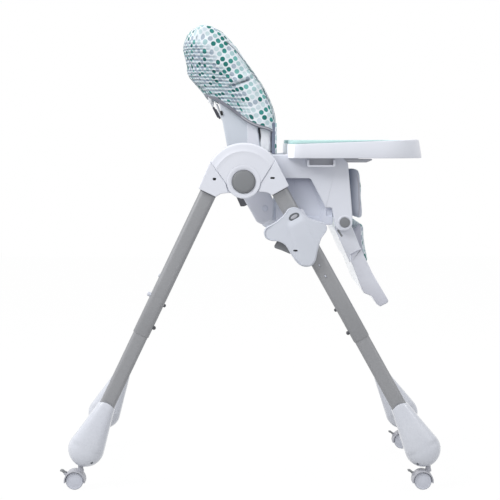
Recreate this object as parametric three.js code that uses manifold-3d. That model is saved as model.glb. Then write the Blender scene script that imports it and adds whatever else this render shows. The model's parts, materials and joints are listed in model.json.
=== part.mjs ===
// A folding baby high chair: tubular A-frame on casters, height-adjustable seat on the front
// legs, reclining back, calf rest with foot plate, and a two-piece tray.
// Millimetres, +Z up, the front of the chair towards +X, its right side towards -Y.
// The origin lies on the floor, under the middle of the chair.

import * as THREE from 'three';
import { mergeVertices } from 'three/addons/utils/BufferGeometryUtils.js';
import Module from 'manifold-3d';

const wasm = await Module();
wasm.setup();

// ---------------------------------------------------------------- driving dimensions
const hub = { x: -17, z: 700 };           // fold axis, seen from the side
const frontLean = THREE.MathUtils.degToRad(-29.1);
const rearLean = THREE.MathUtils.degToRad(25.6);
const legPlane = 245;                     // middle of the leg tubes, from the chair's middle
const legOffset = 60.5;                   // leg axis to the fold axis
const socketMouth = 58;                   // fold axis to the mouth of a leg socket, down the leg
const frontTube = 560;                    // visible tube, front leg
const rearTube = 534;                     // visible tube, rear leg
const frontUpper = 383;                   // visible part of the upper tube, front
const rearUpper = 355;                    // visible part of the upper tube, rear
const tube = { wide: 38, thick: 20, wall: 1.2 };
const fit = 0.3;                          // gap between pieces that touch
const runFit = 0.5;                       // gap between pieces that slide or turn
const lowerInset = 70;                    // lower tube inside the upper one
const footGrip = 62;                      // lower tube inside its foot
const socketGrip = 42;                    // upper tube inside its socket

const knuckleRadius = 38;                 // hinge discs and the ring of the hub cover
const fanRadius = 87;                     // outer edge of the hub cover
const seam = { lift: 8, sweep: THREE.MathUtils.degToRad(40) };
const socketWall = 5;                     // socket outside the tube
const fanRim = 6;                         // width of the rim behind the cover's edge
const hubInner = 227;                     // inner faces of the hub
const hubSplit = 240.5;                   // between the two hinge discs
const coverBack = 256;                    // back of the hub cover
const socketFace = 265;                   // outer faces of the leg sockets
const coverFace = 267;                    // outer face of the hub cover
const button = { radius: 27, back: 262.2, face: 272 };
const axle = { radius: 10, head: 16, headThick: 7 };

const snapPin = { radius: 4.5, length: 6, above: 26 };
const peg = { radius: 5, length: 8, above: 91 };
const foot = { neck: 20, round: 41, centre: 111, half: 29, bevel: 9 };
const crossbar = { radius: 12, grip: 18 };
const caster = { offset: 13, trail: 13, radius: 20, wheelWide: 13, rib: 3, stem: 5, pinTop: 73 };
const hood = { inner: 21.2, outer: 24, half: 20, top: 48 };
const lever = { out: 22, up: 15.5, knuckle: 2.4, half: 8, length: 10 };

const wallFace = 206;                     // outer face of the seat's side walls
const wall = 8;                           // moulded walls of the seat
const pan = { back: 66, front: 186, low: 600, top: 619.6 };
const shellHalf = 168;
const shellWall = 8;
const shellOpening = { back: 40, front: 80, low: 590, high: 690 };
const arm = { face: 214, inner: shellHalf + 10, top: 760, cap: 14, under: 706,
  back: 45, front: 220 };
const armPost = { back: 135, bend: 709, neck: 26, heel: 16 };
const armRail = { low: 742, high: 750, front: 275 };  // the tray runs on it past the arm
const calfAxis = { x: 213.3, z: 605.7 };
const postRadius = 19;
const reclineAxis = { x: 32, z: 636 };
const reclinePin = 7;
const calfPin = 12;
const coverHalf = shellHalf + 11;
const padGap = 0.5;                       // soft solids to their neighbours
const wingThick = 15;                     // padding along the arms
const wing = { front: 252, shoulder: 248, toe: 616, step: 629, notch: 640 };
const wingDrop = { top: 32, bend: 60, side: 70, rear: 80 };   // below the top of the arms
const padTop = 648;                       // top of the seat cushion

const trayOverhang = 46;                  // tray past the arms
const tray = { back: 83, front: 398, half: arm.face + trayOverhang,
  low: 752, floor: 762, base: 4, wall: 5 };
const trayRim = { rear: 782, front: 795 };
const trayCut = { half: shellHalf, front: 172 };
const insertTop = 793;
const latch = { back: 126, front: 190, inner: arm.face + 1, outer: arm.face + 30,
  top: 749, low: 732, bar: 5 };

const sides = [['R', -1], ['L', 1]];

// ---------------------------------------------------------------- finishes
const finish = (color, roughness, metalness = 0) => ({ color, roughness, metalness });
const whitePlastic = finish('#dfe3ec', 0.45);
const greyTube = finish('#8f9194', 0.5, 0.35);
const greyPlastic = finish('#7f8180', 0.55);
const darkPlastic = finish('#3c3d42', 0.6);
const wheelGrey = finish('#c9ccd2', 0.5);
const mintPlastic = finish('#b9dedc', 0.35);
const fabric = finish('#e9eff0', 0.9);
const webbing = finish('#6d6f76', 0.85);
const steel = finish('#a9abae', 0.35, 0.8);

// ---------------------------------------------------------------- helpers
// A closed geometry as a solid that can be joined to others or cut by them.
function solidOf(geometry) {
  const plain = geometry.index ? geometry.toNonIndexed() : geometry.clone();
  plain.deleteAttribute('normal');
  plain.deleteAttribute('uv');
  const welded = mergeVertices(plain, 1e-4);
  return new wasm.Manifold(new wasm.Mesh({
    numProp: 3,
    vertProperties: new Float32Array(welded.attributes.position.array),
    triVerts: new Uint32Array(welded.index.array),
  }));
}

function geometryOf(solid) {
  const mesh = solid.getMesh();
  const geometry = new THREE.BufferGeometry();
  geometry.setAttribute('position', new THREE.BufferAttribute(mesh.vertProperties, 3));
  geometry.setIndex(new THREE.BufferAttribute(mesh.triVerts, 1));
  return geometry;
}

const join = (...geometries) => geometryOf(
  geometries.map(solidOf).reduce((whole, piece) => whole.add(piece)));

const cut = (body, ...tools) => geometryOf(
  tools.map(solidOf).reduce((rest, tool) => rest.subtract(tool), solidOf(body)));

// An outline of [x, z, radius] corners, each corner rounded by its radius.
function outline(corners) {
  const shape = new THREE.Shape();
  const count = corners.length;
  corners.forEach(([x, z, radius = 0], index) => {
    const here = new THREE.Vector2(x, z);
    const before = new THREE.Vector2(...corners[(index + count - 1) % count].slice(0, 2)).sub(here);
    const after = new THREE.Vector2(...corners[(index + 1) % count].slice(0, 2)).sub(here);
    const half = Math.acos(THREE.MathUtils.clamp(before.dot(after)
      / (before.length() * after.length()), -1, 1)) / 2;
    const reach = Math.min(radius / Math.tan(half), before.length() * 0.49, after.length() * 0.49);
    const start = before.setLength(Math.max(reach, 1e-3)).add(here);
    const end = after.setLength(Math.max(reach, 1e-3)).add(here);
    if (radius === 0) {
      index ? shape.lineTo(x, z) : shape.moveTo(x, z);
      return;
    }
    index ? shape.lineTo(start.x, start.y) : shape.moveTo(start.x, start.y);
    shape.quadraticCurveTo(x, z, end.x, end.y);
  });
  shape.closePath();
  return shape;
}

// The same corners, moved outwards by an amount along both neighbouring edges.
function grown(corners, amount) {
  const count = corners.length;
  const edge = (from, to) => new THREE.Vector2(to[0] - from[0], to[1] - from[1]).normalize();
  const area = corners.reduce((sum, [x, z], index) => {
    const [nextX, nextZ] = corners[(index + 1) % count];
    return sum + x * nextZ - nextX * z;
  }, 0);
  const outwards = Math.sign(area) * amount;
  return corners.map((corner, index) => {
    const arriving = edge(corners[(index + count - 1) % count], corner);
    const leaving = edge(corner, corners[(index + 1) % count]);
    const normal = new THREE.Vector2(arriving.y + leaving.y, -arriving.x - leaving.x);
    normal.multiplyScalar(2 * outwards / normal.lengthSq());
    return [corner[0] + normal.x, corner[1] + normal.y, corner[2] ?? 0];
  });
}

// An outline in the XZ plane with its thickness along Y, from one distance to another
// on one side of the chair.
function slab(shape, near, far, side = 1, curveSegments = 2) {
  const geometry = new THREE.ExtrudeGeometry(shape, {
    depth: far - near, bevelEnabled: false, curveSegments });
  geometry.rotateX(Math.PI / 2);
  geometry.translate(0, side > 0 ? far : -near, 0);
  return geometry;
}

// A round bar along Y at a place in the XZ plane.
function crossPin(x, z, radius, near, far, side = 1, segments = 16) {
  const geometry = new THREE.CylinderGeometry(radius, radius, far - near, segments);
  geometry.translate(x, side * (near + far) / 2, z);
  return geometry;
}

function block(x0, x1, y0, y1, z0, z1) {
  const geometry = new THREE.BoxGeometry(x1 - x0, y1 - y0, z1 - z0);
  geometry.translate((x0 + x1) / 2, (y0 + y1) / 2, (z0 + z1) / 2);
  return geometry;
}

// A flat-sided oval around the middle of the XY plane.
function oval(wide, thick) {
  const shape = new THREE.Shape();
  const end = thick / 2;
  const straight = wide / 2 - end;
  shape.moveTo(-straight, -end);
  shape.lineTo(straight, -end);
  shape.absarc(straight, 0, end, -Math.PI / 2, Math.PI / 2, false);
  shape.lineTo(-straight, end);
  shape.absarc(-straight, 0, end, Math.PI / 2, Math.PI * 1.5, false);
  return shape;
}

// A straight oval bar or tube down the leg, from z = high to z = low.
function ovalBar(wide, thick, low, high, bore = 0) {
  const shape = oval(wide, thick);
  if (bore > 0) {
    shape.holes.push(oval(wide - 2 * bore, thick - 2 * bore));
  }
  const geometry = new THREE.ExtrudeGeometry(shape, {
    depth: high - low, bevelEnabled: false, curveSegments: 6 });
  geometry.translate(0, 0, low);
  return geometry;
}

const chair = new THREE.Group();

function add(name, geometry, look, parent = chair) {
  const mesh = new THREE.Mesh(geometry, new THREE.MeshStandardMaterial(look));
  mesh.name = name;
  parent.add(mesh);
  return mesh;
}

// A frame whose origin is the fold axis and whose -Z runs down the leg.
function legFrame(lean) {
  const group = new THREE.Group();
  group.position.set(hub.x, 0, hub.z);
  group.rotation.y = lean;
  chair.add(group);
  return group;
}

// A place in a leg's own frame, in the chair's frame.
function placeOnLeg(lean, x, z) {
  return {
    x: hub.x + x * Math.cos(lean) + z * Math.sin(lean),
    z: hub.z - x * Math.sin(lean) + z * Math.cos(lean),
  };
}

// A place in the chair's frame, in a leg's own frame.
function onLeg(lean, x, z) {
  return {
    x: (x - hub.x) * Math.cos(lean) - (z - hub.z) * Math.sin(lean),
    z: (x - hub.x) * Math.sin(lean) + (z - hub.z) * Math.cos(lean),
  };
}

// ---------------------------------------------------------------- legs, feet and casters
// A short round pin standing out of a leg's edge, across the leg.
function edgePin(z, radius, direction, from, to) {
  const pin = new THREE.CylinderGeometry(radius, radius, to - from, 12);
  pin.rotateZ(Math.PI / 2);
  pin.translate(direction * (from + to) / 2, 0, z);
  return pin;
}

function buildLeg(group, lean, label, forward, visible, upperVisible) {
  const axisX = forward * legOffset;
  const mouthZ = -socketMouth;
  const seamZ = mouthZ - upperVisible;
  const footZ = mouthZ - visible;
  const centreZ = footZ - foot.centre;
  const place = placeOnLeg(lean, axisX, centreZ);
  const stemX = place.x + forward * caster.offset;

  for (const [tag, side] of sides) {
    const y = side * legPlane;

    const pinZ = seamZ + snapPin.above;
    const pinReach = tube.wide / 2 + snapPin.length;
    const upperTube = ovalBar(tube.wide, tube.thick, seamZ, mouthZ + socketGrip, tube.wall);
    const upper = add(`${label}_leg_upper_${tag}`, cut(upperTube,
      edgePin(pinZ, snapPin.radius + fit, -forward, tube.wide / 4, pinReach)), greyTube, group);
    upper.position.set(axisX, y, 0);

    const lowerWide = tube.wide - 2 * (tube.wall + fit);
    const lowerThick = tube.thick - 2 * (tube.wall + fit);
    const lowerTube = ovalBar(lowerWide, lowerThick, footZ - footGrip, seamZ + lowerInset, tube.wall);
    const lower = add(`${label}_leg_lower_${tag}`, join(lowerTube,
      edgePin(pinZ, snapPin.radius, -forward, lowerWide / 2 - tube.wall, pinReach)), greyTube, group);
    lower.position.set(axisX, y, 0);

    const shell = footShell(axisX, footZ, lowerWide, lowerThick);
    shell.translate(0, y, 0);
    const bar = crossPin(axisX, centreZ, crossbar.radius + fit,
      legPlane - foot.half - 1, legPlane - foot.half + crossbar.grip + fit, side);
    const hole = onLeg(lean, stemX, caster.pinTop);
    const stem = new THREE.CylinderGeometry(caster.stem + fit, caster.stem + fit, 60, 12);
    stem.rotateX(Math.PI / 2);
    stem.translate(0, 0, fit - 30);
    stem.rotateY(-lean);
    stem.translate(hole.x, y, hole.z);
    add(`${label}_foot_${tag}`, cut(shell, bar, stem), whitePlastic, group);
  }

  const half = legPlane - foot.half + crossbar.grip;
  add(`${label}_crossbar`, crossPin(axisX, centreZ, crossbar.radius, -half, half), greyTube, group);
  return { axisX, mouthZ, seamZ, footZ, centreZ, place, stemX };
}

// A foot: straight flanks from the narrow neck to a round end, edges rolled over, with the
// socket of the lower tube in its neck.
function footShell(axisX, footZ, lowerWide, lowerThick) {
  const spread = Math.asin((foot.round - foot.neck) / foot.centre);
  const round = foot.round - foot.bevel;
  const neck = foot.neck - foot.bevel;
  const shape = new THREE.Shape();
  shape.moveTo(neck, -foot.bevel);
  shape.lineTo(round * Math.cos(spread), -foot.centre + round * Math.sin(spread));
  shape.absarc(0, -foot.centre, round, spread, -Math.PI - spread, true);
  shape.lineTo(-neck, -foot.bevel);
  const geometry = new THREE.ExtrudeGeometry(shape, {
    depth: 2 * (foot.half - foot.bevel), bevelEnabled: true, bevelSize: foot.bevel,
    bevelThickness: foot.bevel, bevelSegments: 2, curveSegments: 6 });
  geometry.translate(0, 0, -(foot.half - foot.bevel));
  geometry.rotateX(Math.PI / 2);
  const socket = ovalBar(lowerWide + 2 * fit, lowerThick + 2 * fit, -footGrip - fit, 1);
  const shell = cut(geometry, socket);
  shell.translate(axisX, 0, footZ);
  return shell;
}

const frontFrame = legFrame(frontLean);
const rearFrame = legFrame(rearLean);
const front = buildLeg(frontFrame, frontLean, 'front', 1, frontTube, frontUpper);
const rear = buildLeg(rearFrame, rearLean, 'rear', -1, rearTube, rearUpper);

// A twin-wheel caster standing at x = 0, its swivel axis on x = 0 and its wheels trailing.
function buildCaster(label, stemX, tag, side) {
  const group = new THREE.Group();
  group.position.set(stemX, side * legPlane, 0);
  chair.add(group);
  const axleX = -caster.trail;
  const axleZ = caster.radius;
  const axleRadius = 3;

  const roof = new THREE.Shape();
  const from = THREE.MathUtils.degToRad(-10);
  const to = THREE.MathUtils.degToRad(190);
  roof.absarc(axleX, axleZ, hood.outer, from, to, false);
  roof.absarc(axleX, axleZ, hood.inner, to, from, true);
  const rib = outline([[axleX - 10, axleZ - 8], [axleX + 10, axleZ - 8],
    [axleX + 20, axleZ + 8], [axleX + 13, axleZ + 18], [axleX - 13, axleZ + 18],
    [axleX - 20, axleZ + 8]]);
  const collarThick = hood.top - axleZ - caster.radius - runFit;
  const collar = new THREE.CylinderGeometry(9, 10, collarThick, 12);
  collar.rotateX(Math.PI / 2);
  collar.translate(0, 0, hood.top - collarThick / 2);
  const pinLength = caster.pinTop - hood.top + 5;
  const pin = new THREE.CylinderGeometry(caster.stem, caster.stem, pinLength, 12);
  pin.rotateX(Math.PI / 2);
  pin.translate(0, 0, caster.pinTop - pinLength / 2);
  const pivot = { x: axleX - lever.out, z: axleZ + lever.up };
  const reach = Math.hypot(lever.out, lever.up);
  const along = { x: -lever.out / reach, z: lever.up / reach };
  const earCorner = (out, across) => [pivot.x + along.x * out + along.z * across,
    pivot.z + along.z * out - along.x * across];
  const inside = hood.inner + 0.5 - reach;
  const ears = [1, -1].map((ear) => slab(outline([earCorner(inside, -3), earCorner(inside, 3),
    earCorner(3, 3), earCorner(3, -3)]), lever.half + runFit, lever.half + 3, ear));
  const body = cut(join(slab(roof, -hood.half, hood.half, 1, 6), pin, collar, ...ears,
    slab(rib, -caster.rib, caster.rib)),
  crossPin(axleX, axleZ, axleRadius + fit, -caster.rib - 1, caster.rib + 1, 1, 10));
  add(`${label}_caster_${tag}`, body, greyPlastic, group);

  const wheels = [1, -1].map((wheel) => {
    const profile = [
      [0, caster.rib + runFit], [caster.radius, caster.rib + runFit],
      [caster.radius, caster.rib + caster.wheelWide - 2],
      [caster.radius - 3, caster.rib + caster.wheelWide],
      [0, caster.rib + caster.wheelWide - 1]];
    const points = profile.map(([r, y]) => new THREE.Vector2(r, y));
    const geometry = new THREE.LatheGeometry(points, 18);
    if (wheel < 0) {
      geometry.rotateX(Math.PI);
    }
    geometry.translate(axleX, 0, axleZ);
    return geometry;
  });
  const wheelAxle = crossPin(axleX, axleZ, axleRadius, -caster.rib - 2, caster.rib + 2, 1, 10);
  add(`${label}_wheels_${tag}`, join(...wheels, wheelAxle), wheelGrey, group);

  const plate = outline([
    [pivot.x - 1, pivot.z + lever.knuckle, 1], [pivot.x - lever.length, pivot.z + 8, 1.5],
    [pivot.x - lever.length - 1, pivot.z + 4.5, 1.5], [pivot.x - 1, pivot.z - lever.knuckle, 1]]);
  const pedal = join(slab(plate, -lever.half, lever.half),
    crossPin(pivot.x, pivot.z, lever.knuckle, -lever.half, lever.half, 1, 10));
  add(`${label}_brake_${tag}`, pedal, greyPlastic, group);
}

for (const [tag, side] of sides) {
  buildCaster('front', front.stemX, tag, side);
  buildCaster('rear', rear.stemX, tag, side);
}

// ---------------------------------------------------------------- hub
// The seam between a leg socket and the hub cover, in the leg's frame: from the ring round
// the button to the cover's outer edge.
function seamLine(forward, gap) {
  const outer = new THREE.Vector2(Math.sqrt(fanRadius ** 2 - seam.lift ** 2), seam.lift);
  const angle = Math.atan2(seam.lift, outer.x) - seam.sweep;
  const inner = new THREE.Vector2(Math.cos(angle), Math.sin(angle)).multiplyScalar(knuckleRadius - 1);
  const along = outer.clone().sub(inner).normalize();
  const shift = new THREE.Vector2(along.y, -along.x).multiplyScalar(gap);
  return [inner, outer].map((end) => [forward * (end.x + shift.x), end.y + shift.y]);
}

// A leg socket: a block round the tube's end and a hinge disc on the fold axis. Both blocks
// are the same seen from the side; the discs lie side by side.
function buildSocket(group, label, forward, leg, discNear, discFar) {
  const outer = legOffset + tube.wide / 2 + socketWall;
  const inner = legOffset - tube.wide / 2;
  const [seamInner, seamOuter] = seamLine(forward, fit);
  const shape = outline([seamOuter, [forward * outer, -socketMouth],
    [forward * inner, -socketMouth], [forward * (inner - 19), -socketMouth + 19, 4],
    [forward * knuckleRadius / 3, -knuckleRadius * 0.8], seamInner]);
  for (const [tag, side] of sides) {
    const blockSolid = slab(shape, hubInner, socketFace, side);
    const disc = crossPin(0, 0, knuckleRadius, discNear, discFar, side, 26);
    const ringSpace = crossPin(0, 0, knuckleRadius + runFit, coverBack - fit, socketFace + 1,
      side, 26);
    const otherNear = label === 'front' ? hubSplit : hubInner - 1;
    const otherFar = label === 'front' ? coverBack : hubSplit;
    const discSpace = crossPin(0, 0, knuckleRadius + runFit, otherNear, otherFar, side, 26);
    const bore = crossPin(0, 0, axle.radius + fit, hubInner - 1, coverFace, side);
    const tubeHole = ovalBar(tube.wide + 2 * fit, tube.thick + 2 * fit,
      -socketMouth - 1, -socketMouth + socketGrip + fit);
    tubeHole.translate(leg.axisX, side * legPlane, 0);
    const body = cut(join(cut(blockSolid, discSpace, ringSpace), disc), bore, tubeHole);
    add(`${label}_socket_${tag}`, body, whitePlastic, group);
  }
}

buildSocket(frontFrame, 'front', 1, front, hubInner, hubSplit - fit);
buildSocket(rearFrame, 'rear', -1, rear, hubSplit + fit, coverBack - runFit);

// The hub cover: a ring round the button and a fan between the two sockets, with a rim.
function fanOutline() {
  const inChair = (lean, [x, z]) => {
    const place = placeOnLeg(lean, x, z);
    return new THREE.Vector2(place.x - hub.x, place.z - hub.z);
  };
  const [frontInner, frontOuter] = seamLine(1, 0).map((end) => inChair(frontLean, end));
  const [rearInner, rearOuter] = seamLine(-1, 0).map((end) => inChair(rearLean, end));
  const shape = new THREE.Shape();
  shape.moveTo(frontInner.x, frontInner.y);
  shape.lineTo(frontOuter.x, frontOuter.y);
  shape.absarc(0, 0, fanRadius, frontOuter.angle(), rearOuter.angle(), false);
  shape.lineTo(rearInner.x, rearInner.y);
  return shape;
}

for (const [tag, side] of sides) {
  const fan = slab(fanOutline(), coverBack, coverFace, side, 8);
  const rimOuter = slab(fanOutline(), hubInner + 2, coverBack + 1, side, 8);
  const rimInner = crossPin(0, 0, fanRadius - fanRim, hubInner, coverBack + 2, side, 26);
  const ring = crossPin(0, 0, knuckleRadius, coverBack, coverFace, side, 26);
  const hole = crossPin(0, 0, button.radius + fit, coverBack - 1, coverFace + 1, side, 26);
  const cover = cut(join(fan, cut(rimOuter, rimInner), ring), hole);
  cover.translate(hub.x, 0, hub.z);
  add(`hub_cover_${tag}`, cover, whitePlastic);

  const cap = crossPin(hub.x, hub.z, button.radius, button.back, button.face, side, 26);
  add(`fold_button_${tag}`, cap, greyPlastic);
}

for (const [tag, side] of sides) {
  const pin = join(
    crossPin(hub.x, hub.z, axle.radius, hubInner - axle.headThick, coverBack - fit, side),
    crossPin(hub.x, hub.z, axle.head, hubInner - axle.headThick - fit, hubInner - fit, side));
  add(`hub_axle_${tag}`, pin, steel);

  const pegZ = rear.seamZ + peg.above;
  const out = tube.wide / 2 + fit;
  const hook = edgePin(pegZ, peg.radius, -1, out, out + peg.length);
  hook.translate(rear.axisX, side * legPlane, 0);
  add(`tray_peg_${tag}`, hook, greyPlastic, rearFrame);
}

// ---------------------------------------------------------------- seat
// The seat shell: a pan between two side walls, with two ears at the back that carry the
// reclining back on short pins.
function buildSeatShell() {
  const floor = slab(outline([[pan.back, pan.low], [pan.front, pan.low],
    [pan.front, pan.top], [pan.back, pan.top]]), -wallFace, wallFace);
  const wallTop = arm.top - arm.cap - fit;
  const side = outline([[pan.back - 8, pan.low, 6], [pan.front, pan.low, 4],
    [pan.front, pan.top + 22, 4], [pan.front - 17, pan.top + 22, 4], [pan.front - 22, wallTop],
    [pan.back - 8, wallTop, 10]]);
  const walls = sides.map(([, hand]) => slab(side, wallFace - wall, wallFace, hand));
  const earNear = shellHalf - shellWall - runFit - 12;
  const earFar = shellHalf - shellWall - runFit;
  const ear = outline([[reclineAxis.x - 15, reclineAxis.z + 15, 13],
    [reclineAxis.x - 15, reclineAxis.z - 15, 13], [pan.back + 3, pan.low, 2],
    [pan.back + 3, pan.top], [reclineAxis.x + 15, reclineAxis.z + 15, 13]]);
  const ears = sides.map(([, hand]) => slab(ear, earNear, earFar, hand));
  const pins = sides.map(([, hand]) => crossPin(reclineAxis.x, reclineAxis.z, reclinePin,
    earNear, shellHalf + 2, hand, 16));
  return join(floor, ...walls, ...ears, ...pins);
}
add('seat_shell', buildSeatShell(), whitePlastic);

// A side arm: the armrest, its front post down to the calf pivot, and a short rail that the
// tray runs on past the arm's front end.
const armInner = wallFace + fit;
const postSide = outline([
  [arm.back, arm.top, 12], [arm.front - 20, arm.top, 8], [arm.front, arm.top - 19, 8],
  [arm.front + 3, armPost.bend, 6],
  [calfAxis.x + postRadius + 1, calfAxis.z + armPost.heel, 8],
  [calfAxis.x + postRadius, calfAxis.z - postRadius, postRadius],
  [calfAxis.x - postRadius, calfAxis.z - postRadius, postRadius],
  [calfAxis.x - armPost.neck, calfAxis.z + 2, 3], [armPost.back, arm.under, 6],
  [arm.back, arm.under, 6]]);
for (const [tag, side] of sides) {
  const plate = slab(postSide, armInner, arm.face, side);
  const cap = slab(outline([[arm.back, arm.top - arm.cap, 6], [arm.back, arm.top, 6],
    [arm.front - 20, arm.top, 6], [arm.front - 6, arm.top - arm.cap]]),
  arm.inner, armInner + 1, side);
  const rail = slab(outline([[arm.front - 12, armRail.low, 2], [armRail.front, armRail.low, 3],
    [armRail.front, armRail.high, 3], [arm.front - 12, armRail.high]]),
  arm.inner + 4, arm.face - 4, side);
  const pivotHole = crossPin(calfAxis.x, calfAxis.z, calfPin + fit, armInner - 1,
    arm.face + 1, side, 16);
  add(`side_arm_${tag}`, cut(join(plate, cap, rail), pivotHole), whitePlastic);
}

// The height slider: a sleeve round the front leg, joined to the seat, and its outer cover.
const sleeve = { top: -118, bottom: -193, half: 30, inner: wallFace + fit, outer: 255.2 };
const coverPlate = { back: sleeve.outer + fit, face: 272 };
const starCorners = [[48, 11, 8], [54, -19, 6], [57, -60, 12], [68, -80, 9], [88, -80, 9],
  [104, -53, 10], [166, -42, 14], [182, -24, 16], [178, -4, 14], [158, 10, 10], [138, 26, 10],
  [132, 50, 9], [112, 57, 10], [92, 34, 12], [57, 26, 10], [50, 17, 7]];
const starOnLeg = starCorners.map(([down, out, radius]) => [
  legOffset + out, -socketMouth - down, radius]);
for (const [tag, side] of sides) {
  const body = slab(outline([[legOffset - sleeve.half, sleeve.top, 4],
    [legOffset - sleeve.half, sleeve.bottom, 4], [legOffset + sleeve.half - 4, sleeve.bottom, 4],
    [legOffset + sleeve.half - 4, sleeve.top, 4]]), sleeve.inner, sleeve.outer, side);
  const hole = ovalBar(tube.wide + 2 * runFit, tube.thick + 2 * runFit,
    sleeve.bottom - 1, sleeve.top + 1);
  hole.translate(legOffset, side * legPlane, 0);
  add(`slider_housing_${tag}`, cut(body, hole), whitePlastic, frontFrame);
  add(`slider_cover_${tag}`, slab(outline(starOnLeg), coverPlate.back, coverPlate.face, side, 3),
    whitePlastic, frontFrame);

  const grip = outline([[92, -54], [105, -74, 3], [118, -62, 6], [136, -48, 4], [136, -36, 3],
    [124, -34]].map(([down, out, radius]) => [legOffset + out, -socketMouth - down, radius]));
  add(`height_lever_${tag}`, slab(grip, 240, 255, side), greyPlastic, frontFrame);
}

// The seat pad: a cushion on the pan whose sides rise along the arms and wrap the front of
// the posts.
function buildSeatPad() {
  const half = wallFace - wall - padGap;
  const low = pan.top + padGap;
  const cushion = slab(outline([[pan.back + 4, low, 6], [calfAxis.x + 13, low, 8],
    [calfAxis.x + 13, padTop - 8, 14], [calfAxis.x - 14, padTop, 8],
    [pan.back + 4, padTop, 10]]), -half + wingThick - 1, half - wingThick + 1);
  const face = outline([[pan.back + 4, low, 4], [arm.front, low + 1, 4],
    [wing.front - 16, wing.step, 4], [wing.front - 2, wing.toe, 4], [wing.front, wing.notch, 20],
    [wing.shoulder, arm.top - wingDrop.bend, 20],
    [wing.shoulder - 10, arm.top - wingDrop.top - 1, 6],
    [arm.front - 4, arm.top - wingDrop.top, 4], [arm.front - 10, arm.top - wingDrop.bend, 30],
    [pan.back + 20, arm.top - wingDrop.side, 20], [pan.back + 4, arm.top - wingDrop.rear, 6]]);
  return join(cushion, ...sides.map(([, side]) => slab(face, half - wingThick, half, side)));
}
add('seat_pad', buildSeatPad(), fabric);

// The lap harness lies on the seat pad: two lap straps and a crotch strap in a buckle.
const strap = { wide: 25, thick: 2, lift: 5, reach: 150 };
const harnessLow = padTop + padGap;
const buckle = { x: 150, wide: 44, long: 56, thick: 14 };
const lapStrap = (side) => block(buckle.x - strap.wide / 2, buckle.x + strap.wide / 2,
  Math.min(0, side * strap.reach), Math.max(0, side * strap.reach),
  harnessLow + strap.lift, harnessLow + strap.lift + strap.thick);
add('lap_harness', join(lapStrap(-1), lapStrap(1),
  block(buckle.x - 12, calfAxis.x - 20, -strap.wide / 2, strap.wide / 2,
    harnessLow + strap.lift, harnessLow + strap.lift + strap.thick),
  slab(outline([[buckle.x - buckle.long / 2, harnessLow, 3],
    [buckle.x + buckle.long / 2, harnessLow, 3],
    [buckle.x + buckle.long / 2, harnessLow + buckle.thick, 5],
    [buckle.x - buckle.long / 2, harnessLow + buckle.thick, 5]]),
  -buckle.wide / 2, buckle.wide / 2)), webbing);

// ---------------------------------------------------------------- reclining back
// The back shell is a long tray, open to the front, whose lower ends are lobes that turn on
// the seat's pins.
const shellCorners = [[-72, 872, 6], [-90, 930, 30], [-120, 1005, 30], [-126, 1030, 8],
  [-110, 1036, 10], [-82, 1020, 10], [-38, 982, 20], [2, 925, 30], [18, 870, 20],
  [16, 817, 20], [22, 775, 20], [26, 690, 20], [42, 674, 14], [54, 650, 14], [51, 612, 12],
  [26, 598, 8], [13, 605, 8], [2, 625, 10], [-19, 661, 20], [-55, 779, 30]];
const shellEnds = { foot: 640, head: 1000 };   // the wall is thicker beyond these heights
const pinClear = crossPin(reclineAxis.x, reclineAxis.z, reclinePin + fit,
  -shellHalf - 1, shellHalf + 1, 1, 16);
const shellHollow = outline(shellCorners.map(([x, z, radius]) => [
  x + shellWall + 1,
  z - (z > shellEnds.head || z < shellEnds.foot ? shellWall : 0), radius]));
const hollowReach = slab(shellHollow, -shellHalf + shellWall, shellHalf - shellWall);
const openFront = block(shellOpening.back, shellOpening.front,
  -shellHalf + shellWall, shellHalf - shellWall, shellOpening.low, shellOpening.high);
add('back_shell', cut(slab(outline(shellCorners), -shellHalf, shellHalf), hollowReach,
  openFront, pinClear), whitePlastic);

// The padded back cover is pulled over the shell like a hood and hangs down in front of it.
const coverCorners = [[-116, 1061, 16], [-146, 1046, 16], [-160, 1014, 16], [-147, 958, 10],
  [-124, 924, 12], [-106, 894, 5], [-82, 886, 3], [-45, 862, 5], [-10, 834, 5], [20, 818, 4],
  [24, 762, 2], [57, 760, 3], [58, 838, 20], [47, 880, 20], [24, 925, 20], [-6, 968, 20],
  [-50, 1018, 20], [-88, 1048, 12]];
const coverSpace = slab(outline(grown(shellCorners, padGap)), -shellHalf - padGap,
  shellHalf + padGap);
add('back_cover', cut(slab(outline(coverCorners), -coverHalf, coverHalf), coverSpace), fabric);

// The recline grip: a bar behind the lowest straight stretch of the shell, pulled upwards.
const grip = { half: 80, start: 19, end: 56, thick: 17 };
function buildReclineGrip() {
  const [low, high] = [17, 18].map((index) => new THREE.Vector2(...shellCorners[index].slice(0, 2)));
  const along = high.clone().sub(low).normalize();
  const out = new THREE.Vector2(-along.y, along.x);
  const corner = (up, away) => {
    const place = low.clone().addScaledVector(along, up).addScaledVector(out, away);
    return [place.x, place.y, 2.5];
  };
  return slab(outline([corner(grip.start, runFit), corner(grip.end, runFit),
    corner(grip.end, grip.thick), corner(grip.start, grip.thick)]), -grip.half, grip.half);
}
add('recline_grip', buildReclineGrip(), darkPlastic);

// ---------------------------------------------------------------- calf rest
const calfLean = THREE.MathUtils.degToRad(-22);
const calf = new THREE.Group();
calf.position.set(calfAxis.x, 0, calfAxis.z);
calf.rotation.y = calfLean;
chair.add(calf);
const calfHalf = wallFace - 10;
const panel = { back: -28, floor: -13, front: 14.5, length: 78, wall: 5 };
const tongueThick = 5;
const calfPadInset = 9;                   // calf pad clear of the panel's side walls

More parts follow.
